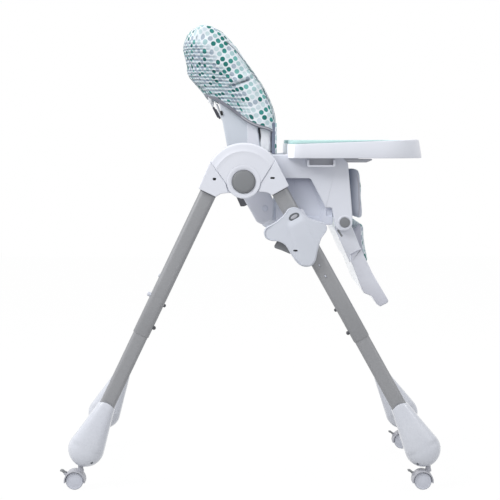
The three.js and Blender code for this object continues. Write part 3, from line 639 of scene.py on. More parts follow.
def buildFoot(end, tag, side):
    neck, lip, bend, square = (footShape[key] for key in ("neck", "lip", "bend", "square"))
    deepNeck, deep, centre = footShape["neckDepth"], footShape["depth"], footShape["centre"]
    wellHalf, wellDepth, wellSquare = footShape["well"]
    spread = math.asin((footShape["round"] - neck) / -centre)
    flankEnd = centre + footShape["round"] * math.sin(spread)
    flankHalf = footShape["round"] * math.cos(spread)
    sections = [(wellHalf, wellDepth, -footShape["wellDeep"], wellSquare, 0),
                (wellHalf, wellDepth, -1.5, wellSquare, bend)]
    for turn in range(5):
        angle = math.pi / 2 * turn / 4
        inward = lip * (1 - math.sin(angle))
        sections.append((neck - inward - 0.3, deepNeck - inward * 2, -lip * (1 - math.cos(angle)),
                         square, bend))
    for step in range(1, 15):
        t = step / 14
        swell = math.sin(math.pi / 2 * t) ** 0.9
        sections.append((neck + (flankHalf - neck) * t, deepNeck + (deep - deepNeck) * swell,
                         -3 + (flankEnd + 3) * t, square, bend * (1 - t) ** 3))
    for step in range(1, 20):
        angle = spread - (spread + math.pi / 2) * step / 20
        fall = max(math.cos(angle), 0)
        sections.append((footShape["round"] * math.cos(angle), deep * min(1, fall + 0.02) ** 0.55,
                         centre + footShape["round"] * math.sin(angle), square - 0.4, 0))
    matrix = legFrame(end) @ Matrix.Translation((forward[end] * leg["offset"], 0, legTube[end]["foot"]))
    bm = bmesh.new()
    skin(bm, [footSection(bm, matrix, side, *section) for section in sections])
    settle(newObject(f"{end}Foot{tag}", bm, footPlastic), f"{end}_frame", "white_plastic",
           f"{end}_foot_{tag}", degrees=60)


def buildFeet():
    for tag, side in sides:
        for end in ("front", "rear"):
            buildFoot(end, tag, side)
    for end in ("front", "rear"):
        half = crossbar["half"]
        bar = lathePiece(f"{end}Crossbar", tubePaint, roundProfile(crossbar["radius"], -half, half, 1, 1),
                         legFrame(end), forward[end] * leg["offset"],
                         legTube[end]["foot"] + footShape["centre"], 1, 40)
        settle(bar, f"{end}_frame", "painted_tube", f"{end}_crossbar")


# casters: hooded twin wheels on a stem, each with a small brake finger
caster = {"axle": (-13, 20), "wheelRadius": 20, "hoodInner": 21.2, "hoodOuter": 24, "hoodHalf": 20,
          "hoodFrom": -10, "hoodTo": 190, "inner": 3.5, "outer": 16, "pivot": (-35, 35.5),
          "webHalf": 3, "stemFoot": 40.2, "brakeHalf": 8}


def buildCaster(end, tag, side):
    stem = jointPlace(f"{end}_swivel_{tag}").x / mm
    matrix = Matrix.Scale(mm, 4) @ Matrix.Translation((stem, side * leg["plane"], 0))
    x, z = caster["axle"]

    bm = bmesh.new()
    steps = 36
    first, last = math.radians(caster["hoodFrom"]), math.radians(caster["hoodTo"])
    low, high, half = caster["hoodInner"], caster["hoodOuter"], caster["hoodHalf"]
    path = [(high, -half + 1.5), (high - 0.5, -half + 0.4), (high - 1.5, -half), (low, -half),
            (low, half), (high - 1.5, half), (high - 0.5, half - 0.4), (high, half - 1.5)]
    rings = []
    for step in range(steps + 1):
        angle = first + (last - first) * step / steps
        rings.append([bm.verts.new(matrix @ Vector((x + r * math.cos(angle), y, z + r * math.sin(angle))))
                      for r, y in path])
    skin(bm, rings)
    web = outline([(x - 10, z - 8, 3), (x + 10, z - 8, 3), (x + 20, z + 8, 3), (x + 13, z + 18, 3),
                   (x - 13, z + 18, 3), (x - 20, z + 8, 3)])
    addPrism(bm, web, [(0, -caster["webHalf"]), (0, caster["webHalf"])], matrix)
    upright = matrix @ Matrix.Rotation(math.pi / 2, 4, "X")
    collar = [(5, 0), (7.4, 0), (7.4, 2.5), (7, 4.4), (6.4, 6), (6, 8), (5, 25), (4.4, 25.4)]
    addLathe(bm, collar, upright @ Matrix.Translation((0, caster["stemFoot"], 0)), 0, 0, 1, 32)
    for ear in (1, -1):
        lug = outline([(-38.5, 35, 2), (-35, 39, 2), (-30, 36, 1), (-33, 31, 1)])
        addPrism(bm, lug, roundedLevels(8.6, 11, 0, 0.8), matrix, ear)
    settle(newObject(f"{end}Caster{tag}", bm, hoodPlastic), f"{end}_caster_{tag}", "grey_plastic",
           f"{end}_caster_{tag}")

    bm = bmesh.new()
    radius, near, far = caster["wheelRadius"], caster["inner"], caster["outer"]
    face = [(radius - 1.5, near), (radius, near + 1.5), (radius, far - 2.5), (radius - 0.7, far - 0.9),
            (radius - 2.2, far - 0.1), (radius - 3.6, far), (radius - 4.4, far - 0.5),
            (radius - 5.2, far - 0.4), (9, far + 0.2), (4, far + 0.5), (1.5, far + 0.55)]
    for wheel in (1, -1):
        addLathe(bm, face, matrix, x, z, wheel, 56)
    addLathe(bm, [(3, -5), (3, 5)], matrix, x, z, 1, 20)
    settle(newObject(f"{end}Wheels{tag}", bm, wheelPlastic), f"{end}_wheels_{tag}", "wheel_plastic",
           f"{end}_wheels_{tag}")

    px, pz = caster["pivot"]
    finger = outline([(px + 2, pz - 0.5, 1.5), (px + 1.2, pz + 2.4, 1.5), (px - 2.5, pz + 5.5, 4),
                      (px - 6, pz + 8.3, 3), (px - 11.4, pz + 8.1, 2.4), (px - 11.6, pz + 5.6, 2.2),
                      (px - 7.2, pz + 4.6, 2.5), (px - 4, pz + 1.6, 3), (px - 1.6, pz - 1.8, 1.5)])
    levels = roundedLevels(-caster["brakeHalf"], caster["brakeHalf"], 1.1, 1.1)
    settle(prismPiece(f"{end}Brake{tag}", greyPlastic, finger, levels, matrix), f"{end}_brake_{tag}",
           "grey_plastic", f"{end}_brake_{tag}")


buildLegs()
buildFeet()
for tag, side in sides:
    for end in ("front", "rear"):
        buildCaster(end, tag, side)
print("legs, feet and casters are made")


# hub: two leg sockets, the fan cover, the fold button and the axle; a dark ring at each socket mouth paints the
# shadow line where the tube goes in
hubShape = {"knuckle": 38, "fan": 87, "ridge": 68.5, "seamLift": 8, "seamSweep": math.radians(40),
            "inner": 227, "socketFace": 265, "coverBack": 256, "coverFace": 267, "button": 25.6,
            "seamGap": 0.15, "coverBore": 38.1,
            "buttonFace": 272, "mouthOuter": 84.5, "mouthInner": 41.5, "rim": 6,
            "frontScrew": (60.6, -24.4, 10.2, 4.5), "rearScrew": (-61.5, -23, 7.8, 6.2)}
discSpan = {"front": (227, 240.2), "rear": (240.8, 255.5)}


def seamEnds(end, gap):
    fan, knuckle = hubShape["fan"], hubShape["knuckle"]
    outer = Vector((math.sqrt(fan ** 2 - hubShape["seamLift"] ** 2), hubShape["seamLift"]))
    angle = math.atan2(outer.y, outer.x) - hubShape["seamSweep"]
    inner = Vector((math.cos(angle), math.sin(angle))) * knuckle
    along = (outer - inner).normalized()
    aside = Vector((along.y, -along.x)) * gap
    return [Vector((forward[end] * (p.x + aside.x), p.y + aside.y)) for p in (inner, outer)]


def buildSocket(end, tag, side):
    matrix = legFrame(end)
    way = forward[end]
    inner, outer = seamEnds(end, hubShape["seamGap"])
    outerEdge, innerEdge, mouth = hubShape["mouthOuter"], hubShape["mouthInner"], leg["mouth"]
    face, plane = hubShape["socketFace"], side * leg["plane"]
    below = math.atan2(-0.8 * 3, 1)
    start = math.atan2(inner.y, abs(inner.x))
    ring = hubShape["knuckle"] + 0.5
    arc = [(way * ring * math.cos(a), ring * math.sin(a))
           for a in (below + (start - below) * i / 10 for i in range(11))]
    edge = outline([(outer.x, outer.y, 0), (way * outerEdge, mouth, 3), (way * innerEdge, mouth, 3),
                    (way * (innerEdge - 8), mouth + 12, 12), (way * (innerEdge - 21), mouth + 20, 12),
                    arc[0]])
    points = edge + [Vector(p) for p in arc[1:]]
    socket = prismPiece(f"{end}Socket{tag}", whitePlastic, points,
                        roundedLevels(hubShape["inner"], face, 1.5, 1.8), matrix, side)
    hollow = bmesh.new()
    tubeFrame = matrix @ Matrix.Translation((way * leg["offset"], 0, 0))
    wide, thick = legTube["wide"], legTube["thick"]
    skin(hollow, [ovalRing(wide + 0.6, thick + 0.6, z, tubeFrame, plane, hollow)
                  for z in (mouth - 2, mouth + 42.3)])
    if end == "rear":
        slotPlace = outline([(-36.2, -20, 0.8), (-33.6, -21.4, 0.8), (-20.4, -34.4, 0.8),
                             (-21.6, -36.6, 0.8)])
        addPrism(hollow, slotPlace, [(0, face - 3), (0, face + 2)], matrix, side)
    cutAway(socket, hollow)
    # painted shadow: a dark ring round the tube at the socket's mouth
    mouthShadow = bmesh.new()
    mouthShadowPath = ((0.05, 4), (0.5, 4), (0.5, -1.9), (0.05, -1.9))
    skin(mouthShadow, [ovalRing(wide + more, thick + more, mouth + z, tubeFrame, plane, mouthShadow)
                for more, z in mouthShadowPath], wrap=True)
    settle(newObject(f"{end}Seal{tag}", mouthShadow, darkPlastic), f"{end}_frame", "dark_plastic")
    near, far = discSpan[end]
    disc = reopened(socket)
    addLathe(disc, roundProfile(hubShape["knuckle"], near, far, 0.8, 0.8), matrix, 0, 0, side, 56)
    putBack(disc, socket)
    x, z, screwWide, screwHigh = hubShape[end + "Screw"]
    recess = cutSlot(socket, matrix @ Vector((x, 0, z)), face, side, (screwWide, screwHigh))
    settle(recess, f"{end}_frame", "dark_plastic")
    settle(socket, f"{end}_frame", "white_plastic", f"{end}_socket_{tag}", degrees=32)


def buildHubCover(tag, side):
    matrix = chairFrame @ Matrix.Translation((hub["x"], 0, hub["z"]))
    ends = {end: [Matrix.Rotation(-lean[end], 2) @ p for p in seamEnds(end, 0)] for end in forward}

    def seamAngle(end, radius):
        a, b = ends[end]
        along = b - a
        qa, qb, qc = along.dot(along), 2 * a.dot(along), a.dot(a) - radius ** 2
        t = (-qb + math.sqrt(max(qb * qb - 4 * qa * qc, 0))) / (2 * qa)
        place = a + along * t
        angle = math.atan2(place.y, place.x)
        return angle + math.tau if angle < -math.pi / 2 else angle

    face, back, ridge = hubShape["coverFace"], hubShape["coverBack"], hubShape["ridge"]
    fan, bore, rimFrom = hubShape["fan"], hubShape["coverBore"], hubShape["fan"] - hubShape["rim"]
    section = [(bore, back), (bore, face - 0.5)]
    section += [(bore + (ridge - 1.6 - bore) * t, face - 0.2) for t in (0, 0.33, 0.66, 1)]
    section += [(ridge - 0.9, face), (ridge, face - 0.1), (ridge + 0.9, face - 0.6)]
    section += [(ridge + 0.9 + (fan - 5 - ridge - 0.9) * t, face - 0.6 - 2.4 * t) for t in (0.5, 1)]
    section += [(fan - 5 + 5 * math.sin(a), face - 3 - 7 * (1 - math.cos(a)))
                for a in (math.pi / 2 * i / 6 for i in range(1, 7))]
    section += [(fan, 240), (fan, 230), (fan - 1, 229), (fan - 5, 229), (rimFrom, 230),
                (rimFrom, back - 1), (rimFrom - 1, back)]
    stations = [0, 0.004, 0.012] + [i / 48 for i in range(1, 48)] + [0.988, 0.996, 1]
    bm = bmesh.new()
    rings = []
    for t in stations:
        drop = 1.1 * max(0, 1 - min(t, 1 - t) / 0.012) ** 2
        ring = []
        for radius, reach in section:
            first, last = seamAngle("front", radius), seamAngle("rear", radius)
            angle = first + (last - first) * t
            lowered = reach - drop if reach > 262 else reach
            ring.append(bm.verts.new(matrix @ Vector((
                radius * math.cos(angle), side * lowered, radius * math.sin(angle)))))
        rings.append(ring)
    skin(bm, rings)
    knuckle, button = hubShape["knuckle"], hubShape["button"]
    collar = [(button + 0.5, back), (knuckle - 0.2, back), (knuckle, back + 0.6), (knuckle, face - 0.7),
              (knuckle - 0.5, face - 0.1), (knuckle - 1.8, face + 0.3), (knuckle - 4, face + 0.3),
              (button + 2.4, face - 0.5), (button + 1.1, face - 1.1), (button + 0.5, face - 2.2)]
    addLathe(bm, collar, matrix, 0, 0, side, 72, wrap=True)
    settle(newObject(f"hubCover{tag}", bm, whitePlastic), "rear_frame", "white_plastic",
           f"hub_cover_{tag}", degrees=30)

    top = hubShape["buttonFace"]
    dome = [(button, 262.4), (button, top - 4), (button - 0.5, top - 2.8), (button - 1.6, top - 2.1),
            (button - 2.6, top - 1.9), (button - 3.2, top - 2.2), (button - 3.9, top - 1.9)]
    dome += [(22.6 * math.cos(a), top - 1.7 + 1.6 * math.sin(a))
             for a in (math.pi / 2 * i / 9 for i in range(9))]
    settle(lathePiece(f"foldButton{tag}", greyPlastic, dome, matrix, 0, 0, side, 72),
           f"fold_button_{tag}", "grey_plastic", f"fold_button_{tag}")
    axle = [(10, 255.6), (10, 227), (16, 227), (16, 221.4), (15.3, 220.3), (14, 220), (12, 220),
            (11.4, 221), (7, 221.2), (6.4, 220.6), (2, 220.4)]
    settle(lathePiece(f"hubAxle{tag}", screwSteel, axle, matrix, 0, 0, side), "front_frame", "steel",
           f"hub_axle_{tag}")


# slider: the sleeve round the front leg, its star-shaped cover, and the squeeze lever
sleeve = {"top": -118, "bottom": -193, "back": -30, "front": 26, "inner": 206.3, "outer": 255.2,
          "bore": (39, 21), "lever": (240, 255)}
star = {"back": 255.5, "face": 272, "edge": 4.5, "loop": [
    (44, -3), (47, 10), (56, 19), (72, 24), (87, 30), (100, 42), (111, 52), (123, 53), (131, 45),
    (139, 29), (158, 10), (175, -5), (181, -19), (176, -33), (163, -43), (138, -47), (113, -48),
    (97, -58), (88, -71), (76, -79), (63, -76), (56, -66), (56, -50), (55, -35), (50, -16)]}
lockCap = {"down": 65.5, "long": 7.4, "short": 12.2, "screwAt": (-34, -133.5), "screw": (10, 4)}
starRidge = {"from": 74, "left": -20, "lean": -0.21, "right": 17, "high": 4, "fall": 3.6}


def smoothLoop(points, steps=5):
    loop = [Vector(p) for p in points]
    count = len(loop)
    result = []
    for i in range(count):
        a, b, c, d = (loop[(i + k - 1) % count] for k in range(4))
        for t in (step / steps for step in range(steps)):
            result.append((b * 2 + (c - a) * t + (a * 2 - b * 5 + c * 4 - d) * t * t
                           + (b * 3 - a - c * 3 + d) * t ** 3) / 2)
    return result


def ease(value, low, high):
    t = min(max((value - low) / (high - low), 0), 1)
    return t * t * (3 - 2 * t)


def starRelief(down, out):
    left = starRidge["left"] + starRidge["lean"] * (down - starRidge["from"])
    ridge = ease(out, left - 2, left + 3) * (1 - ease(out, starRidge["right"] - 3, starRidge["right"] + 5))
    away = ((down - 100) ** 2 + out ** 2) / 90 ** 2
    return starRidge["high"] * ridge * ease(down, 66, 84) - starRidge["fall"] * min(away, 1)


def capLoop(gap, count=40):
    long, short, down = lockCap["long"] + gap, lockCap["short"] + gap, lockCap["down"]
    return [Vector((short * math.cos(math.tau * i / count), -down + long * math.sin(math.tau * i / count)))
            for i in range(count)]


# cuts a slot and sets a near-black insert at its bottom, painted as the shadow inside the hole
def cutSlot(piece, place, face, side, size, depth=5):
    wide, high = size[0] / 2, size[1] / 2
    corners = outline([(-wide, -high, high * 0.98), (wide, -high, high * 0.98), (wide, high, high * 0.98),
                       (-wide, high, high * 0.98)], 5)
    frameHere = Matrix.Translation((place.x, 0, place.z)) @ Matrix.Scale(mm, 4)
    slot = bmesh.new()
    addPrism(slot, corners, [(0, face - depth), (0, face + 4)], frameHere, side)
    cutAway(piece, slot)
    bm = bmesh.new()
    addPrism(bm, inset(corners, -0.3), [(0, face - depth - 1), (0, face - 3.4)], frameHere, side)
    return newObject(piece.name + "Screw", bm, holeShadeAndBlackPlastic)


def buildSlider(tag, side):
    matrix = legFrame("front") @ Matrix.Translation((leg["offset"], 0, leg["mouth"]))
    body = legFrame("front") @ Matrix.Translation((leg["offset"], 0, 0))
    back, front, top, bottom = (sleeve[key] for key in ("back", "front", "top", "bottom"))
    box = outline([(back, top, 5), (back, bottom, 5), (front, bottom, 5), (front, top, 5)])
    housing = prismPiece(f"sliderHousing{tag}", whitePlastic, box,
                         roundedLevels(sleeve["inner"], sleeve["outer"], 0.8, 0.8), body, side)
    hollow = bmesh.new()
    skin(hollow, [ovalRing(*sleeve["bore"], z, body, side * leg["plane"], hollow)
                  for z in (top + 2, bottom - 2)])
    cutAway(housing, hollow)
    settle(housing, "seat", "white_plastic", f"slider_housing_{tag}", degrees=32)

    points = smoothLoop([(out, -down) for down, out in star["loop"]])
    bm = bmesh.new()
    levels = [(0.6, star["back"]), (0, star["back"] + 0.6)]
    levels += [(star["edge"] * (1 - math.cos(a)), star["face"] - 4.8 + 4 * math.sin(a))
               for a in (math.pi / 2 * i / 8 for i in range(9))]
    addPrism(bm, points, levels, matrix, side)
    for normal, first, last in ((Vector((0, 0, 1)), -178, -46), (Vector((1, 0, 0)), -76, 50)):
        for step in range(first, last, 3):
            bmesh.ops.bisect_plane(bm, geom=bm.verts[:] + bm.edges[:] + bm.faces[:],
                                   plane_co=matrix @ (normal * step),
                                   plane_no=(matrix.to_3x3() @ normal).normalized())
    inverse = matrix.inverted()
    for vert in bm.verts:
        x, y, z = inverse @ vert.co
        if side * y > star["face"] - 1.2:
            vert.co = matrix @ Vector((x, y + side * starRelief(-z, x), z))
    rim = [[bm.verts.new(matrix @ Vector((p.x, side * height, p.y))) for p in capLoop(gap)]
           for gap, height in ((1, 269), (1, 272.2), (1.7, 273), (2.9, 273.1), (4, 272.4), (4.8, 270))]
    skin(bm, rim, wrap=True)
    cover = newObject(f"sliderCover{tag}", bm, paintedShadePlastic)
    x, z = lockCap["screwAt"]
    recess = cutSlot(cover, matrix @ Vector((x, 0, z)), 270.5, side, lockCap["screw"])
    settle(recess, "seat", "dark_plastic")
    settle(cover, "seat", "white_plastic", f"slider_cover_{tag}", degrees=40)

    # painted shade: the dark lock ring stands for the shade of the recess round the lock cap
    for label, finish, gap, near, far, edge in (("lockRing", rimPlastic, 0.6, 267, 271.6, 0.6),
                                                ("lockCap", hoodPlastic, -3.6, 270, 273, 1.4)):
        levels = roundedLevels(near, far, 0, edge)
        settle(prismPiece(f"{label}{tag}", finish, capLoop(gap), levels, matrix, side), "seat",
               "grey_plastic")

    lever = outline([(-54, -92, 3), (-74, -105, 4), (-62, -118, 7), (-48, -136, 5), (-36, -136, 4),
                     (-34, -124, 3)])
    levels = roundedLevels(*sleeve["lever"], 2, 1.5)
    settle(prismPiece(f"heightLever{tag}", greyPlastic, lever, levels, matrix, side),
           f"height_lever_{tag}", "grey_plastic", f"height_lever_{tag}")


# screws: one small cross-head on the outside of each foot
screw = {"radius": 3.1, "head": 1.2}
screwPlaces = {"front": (34.7, -750), "rear": (-35.9, -722.5)}


def screwTree():
    tree, given, result = newTree("crossScrews", ("Radius", "Float"), ("Head", "Float"),
                                  ("Turn", "Vector"), ("Finish", "Material"))
    head = addNode(tree, "GeometryNodeMeshCylinder", {"Vertices": 24})
    cut = addNode(tree, "GeometryNodeMeshBoolean", operation="DIFFERENCE", solver="EXACT")
    for size in ((1.5, 0.32, 1), (0.32, 1.5, 1)):
        bar = addNode(tree, "GeometryNodeMeshCube")
        grow = addNode(tree, "ShaderNodeVectorMath", {0: size}, operation="SCALE")
        move = addNode(tree, "GeometryNodeTransform")
        lift = addNode(tree, "ShaderNodeCombineXYZ")
        wire(tree, (given, "Radius", grow, "Scale"), (grow, "Vector", bar, "Size"),
             (given, "Head", lift, "Z"), (lift, "Vector", move, "Translation"),
             (bar, "Mesh", move, "Geometry"), (move, "Geometry", cut, "Mesh 2"))
    stamp = addNode(tree, "GeometryNodeInstanceOnPoints")
    real = addNode(tree, "GeometryNodeRealizeInstances")
    paint = addNode(tree, "GeometryNodeSetMaterial")
    wire(tree, (given, "Radius", head, "Radius"), (given, "Head", head, "Depth"),
         (head, "Mesh", cut, "Mesh 1"), (given, "Geometry", stamp, "Points"),
         (cut, "Mesh", stamp, "Instance"), (given, "Turn", stamp, "Rotation"),
         (stamp, "Instances", real, "Geometry"), (real, "Geometry", paint, "Geometry"),
         (given, "Finish", paint, "Material"), (paint, "Geometry", result, "Geometry"))
    return tree


def buildScrews():
    tree = screwTree()
    for end, (x, z) in screwPlaces.items():
        for tag, side in sides:
            place = legFrame(end) @ Vector((x, side * 400, z))
            surface = surfaceOf(bpy.data.objects[f"{end}Foot{tag}"])
            bm = bmesh.new()
            bm.verts.new(surfacePoint(surface, place, Vector((0, -side, 0)), 0.2)[0])
            piece = newObject(f"{end}FootScrew{tag}", bm, rimPlastic)
            runTree(piece, tree, Radius=screw["radius"] * mm, Head=screw["head"] * mm,
                    Turn=Vector((side * -math.pi / 2, 0, 0)), Finish=rimPlastic)
            settle(piece, f"{end}_frame", "dark_plastic")


for tag, side in sides:
    buildSocket("front", tag, side)
    buildSocket("rear", tag, side)
    buildHubCover(tag, side)
    buildSlider(tag, side)
buildScrews()
print("hub, slider and screws are made")


# seat: moulded shell, two arms with their posts, the tray rails and the pivot caps
seat = {"wallFace": 206, "wall": 8, "low": 600, "top": 619.6, "back": 58, "front": 186,
        "wallTop": 745.7, "panBack": 66, "earNear": 147.5, "earFar": 159.5}
arm = {"inner": 178, "near": 206.3, "face": 214, "top": 760, "cap": 14, "back": 45, "front": 220,
       "under": 706, "postBack": 135, "railNear": 182, "railFar": 210}
recline = jointPlace("recline")
calfPivot = jointPlace("calf_rest_lift")


def chairPoint(place):
    return place.x / mm - shift, place.z / mm


def buildSeatShell():
    low, top, back, front = seat["low"], seat["top"], seat["back"], seat["front"]
    face, panBack = seat["wallFace"], seat["panBack"]
    wall = outline([(back, low, 7), (front, low, 5), (front, top + 22, 5), (front - 17, top + 22, 3),
                    (front - 22, seat["wallTop"], 3), (back, seat["wallTop"], 10)])
    bm = bmesh.new()
    for _, side in sides:
        addPrism(bm, wall, roundedLevels(face - seat["wall"], face, 1, 1.5), chairFrame, side)
    pan = outline([(panBack, low, 5), (front, low, 5), (front, top, 5), (panBack, top, 3)])
    addPrism(bm, pan, [(0, -face + 4), (0, face - 4)], chairFrame)
    shell = newObject("seatShell", bm, seatPaintedShade)
    panel = outline([(80, 711, 4), (131, 711, 6), (138, 700, 4), (168, 634, 6), (160, 612, 6), (80, 612, 4)])
    deeper = outline([(95, 706, 5), (129, 706, 6), (135, 699, 4), (163, 636, 6), (156, 617, 6),
                      (95, 617, 4)])
    notch = outline([(170.5, 619, 3), (170.5, 637, 3), (184, 637, 4), (184, 619, 3)])
    for points, depth in ((panel, 1.4), (deeper, 3), (notch, 3)):
        for _, side in sides:
            cutPrism(shell, points, [(depth * 0.5, face - depth), (0, face + 1)], chairFrame, side)
    ears = reopened(shell)
    x, z = chairPoint(recline)
    ear = outline([(x - 15, z + 15, 13), (x - 15, z - 15, 13), (69, low, 4), (69, top, 3),
                   (x + 15, z + 15, 13)])
    for _, side in sides:
        addPrism(ears, ear, roundedLevels(seat["earNear"], seat["earFar"], 1, 1), chairFrame, side)
        addLathe(ears, roundProfile(7, 147, 170, 0, 1.2), chairFrame, x, z, side, 32)
    putBack(ears, shell)
    settle(shell, "seat", "white_plastic", "seat_shell", degrees=32)


def buildArm(tag, side):
    px, pz = chairPoint(calfPivot)
    back, front, top, under = arm["back"], arm["front"], arm["top"], arm["under"]
    lip = top - arm["cap"]
    post = outline([(back, top, 10), (front - 20, top, 8), (front, top - 19, 8),
                    (front + 3, 709, 6), (px + 17.4, pz + 16, 8), (px + 16.8, pz - 19, 19),
                    (px - 20.8, pz - 19, 19), (px - 29.5, pz + 33.5, 5), (px - 44, pz + 33.5, 2),
                    (arm["postBack"], under, 8), (back, under, 6)], 8)
    bm = bmesh.new()
    addPrism(bm, post, roundedLevels(arm["near"], arm["face"], 0.6, 2.4, 5), chairFrame, side)
    cap = outline([(back, lip, 5), (back, top, 5), (front - 18, top, 5), (front - 6, lip, 3)])
    addPrism(bm, cap, roundedLevels(arm["inner"], arm["near"] + 1, 4, 0), chairFrame, side)
    ring = [(12.6, 213), (12.6, 214.4), (13.3, 215), (15.4, 215), (16.6, 214.4), (17.2, 213)]
    addLathe(bm, ring, chairFrame, px, pz, side, wrap=True)
    settle(newObject(f"sideArm{tag}", bm, whitePlastic), "seat", "white_plastic", f"side_arm_{tag}",
           degrees=30)
    rail = outline([(front - 12, 742, 2), (262, 742, 6), (275, 747, 5), (275, 750, 1.5), (front - 12, 750)])
    levels = roundedLevels(arm["railNear"], arm["railFar"], 1.5, 1.5)
    settle(prismPiece(f"trayRail{tag}", railGreyAndShade, rail, levels, chairFrame, side), "seat",
           "grey_plastic")
    button = [(11.6, 213), (11.6, 215.2), (11.1, 216), (10, 216.3), (7, 216.6), (3, 216.8)]
    settle(lathePiece(f"pivotCap{tag}", greyPlastic, button, chairFrame, px, pz, side, 40), "calf_rest",
           "grey_plastic")


# reclining back: the moulded shell and the grip that frees it
backShell = {"half": 168, "wall": 8, "corners": [
    (-72, 872, 6), (-90, 930, 30), (-120, 1005, 30), (-126, 1030, 8), (-110, 1036, 10), (-82, 1020, 10),
    (-38, 982, 20), (2, 925, 30), (18, 870, 20), (16, 817, 20), (22, 775, 20), (26, 690, 20),
    (42, 674, 14), (54, 650, 14), (51, 612, 12), (26, 598, 8), (13, 605, 8), (2, 625, 10), (-19, 661, 20),
    (-55, 779, 30)]}
grip = {"start": 19, "end": 56, "thick": 17, "half": 80}


def buildBackShell():
    half, wall = backShell["half"], backShell["wall"]
    inside = [(0, -half + wall), (0, half - wall)]
    shell = prismPiece("backShell", backPaintedShading, outline(backShell["corners"], 8),
                       roundedLevels(-half, half, 3.5, 3.5), chairFrame)
    inner = [(x + wall + 1, z - (wall if z > 1000 or z < 640 else 0), r)
             for x, z, r in backShell["corners"]]
    cutPrism(shell, outline(inner), inside, chairFrame)
    mouth = [Vector(p) for p in ((40, 590), (80, 590), (80, 690), (40, 690))]
    cutPrism(shell, mouth, inside, chairFrame)
    settle(shell, "backrest", "white_plastic", "back_shell", degrees=32)
    flange = outline([(-7, 700, 2), (-10, 900, 2), (9, 905, 6), (15.5, 868, 20), (13.6, 818, 20),
                      (19.4, 775, 20), (22, 700, 2)])
    for tag, side in sides:
        settle(prismPiece(f"backFlange{tag}", whitePlastic, flange,
                          roundedLevels(half - 4, half + 0.9, 0, 0.9), chairFrame, side),
               "backrest", "white_plastic")

    low, high = (Vector(backShell["corners"][i][:2]) for i in (17, 18))
    along = (high - low).normalized()
    out = Vector((-along.y, along.x))
    start, end, thick = grip["start"], grip["end"], grip["thick"]
    bar = outline([(*(low + along * up + out * away), radius) for up, away, radius in (
        (start - 1, 0.5, 1.5), (end, 0.5, 1.5), (end, thick - 4, 3), (start + 10, thick - 1, 6),
        (start + 4, thick, 3), (start, thick - 8, 3))])
    settle(prismPiece("reclineGrip", darkPlastic, bar, roundedLevels(-grip["half"], grip["half"], 1.4, 1.4),
                      chairFrame), "recline_grip", "dark_plastic", "recline_grip")


# calf rest: a tray-shaped panel and the plate that slides out of it
calf = {"half": 196, "leanDeg": -22, "wall": 5, "floor": -13, "plateHalf": 190, "length": 78,
        "pinTo": 213.5, "ribs": 5, "ribPitch": 12}


def calfFrame():
    x, z = chairPoint(calfPivot)
    return chairFrame @ Matrix.Translation((x, 0, z)) @ Matrix.Rotation(
        math.radians(calf["leanDeg"]), 4, "Y")


# painted light: faces that look backwards get the glowing white finish
def paintLightBehind(piece, matrix, finish):
    behind = (matrix.to_3x3() @ Vector((-1, 0, 0))).normalized()
    piece.data.materials.append(finish)
    for polygon in piece.data.polygons:
        if polygon.normal.dot(behind) > 0.5:
            polygon.material_index = 1


def buildCalfRest():
    matrix = calfFrame()
    half, wall, floor, low = calf["half"], calf["wall"], calf["floor"], -calf["length"]
    profile = outline([(-11, 8, 9), (-28, -4, 8), (-24, low - 12, 2), (-20, low - 12, 2), (-16, low + 4, 4),
                       (12.5, low + 7, 3), (12.5, -20, 8), (11, 8, 9)], 8)
    panel = prismPiece("calfPanel", whitePlastic, profile, roundedLevels(-half, half, 2.2, 2.2), matrix)
    box = outline([(floor, -16, 3), (29, -16), (29, -97), (floor, -97)])
    cutPrism(panel, box, [(0, -half + wall), (0, half - wall)], matrix)
    bm = reopened(panel)
    for _, hand in sides:
        addLathe(bm, [(11.8, half - 3), (11.8, calf["pinTo"])], matrix, 0, 0, hand, 32)
        for near, edge in ((0, 0.3), (1.6, 0.15)):
            band = outline([(-17, low + 6 - near), (13 + near / 2, low + 9 - near), (13 + near / 2, low + 7),
                            (-17, low + 4)])
            addPrism(bm, band, roundedLevels(half - 1, half + 0.2 + edge, 0, 0.3), matrix, hand)
    putBack(bm, panel)
    # painted light: the panel's rear faces glow white
    paintLightBehind(panel, matrix, paintedLightPlastic)
    settle(panel, "calf_rest", "white_plastic", "calf_panel", degrees=32)
    # painted shade: a grey inlay stands for the shade inside the slot below the pivot
    slot = outline([(-23, -11, 1.5), (-18.6, -10, 1.5), (-14.6, -28, 1.5), (-18.6, -29.5, 1.5)], 3)
    for tag, hand in sides:
        levels = roundedLevels(half - 2, half + 0.4, 0, 0.3)
        settle(prismPiece(f"calfSlot{tag}", greyPlastic, slot, levels, matrix, hand), "calf_rest",
               "grey_plastic")


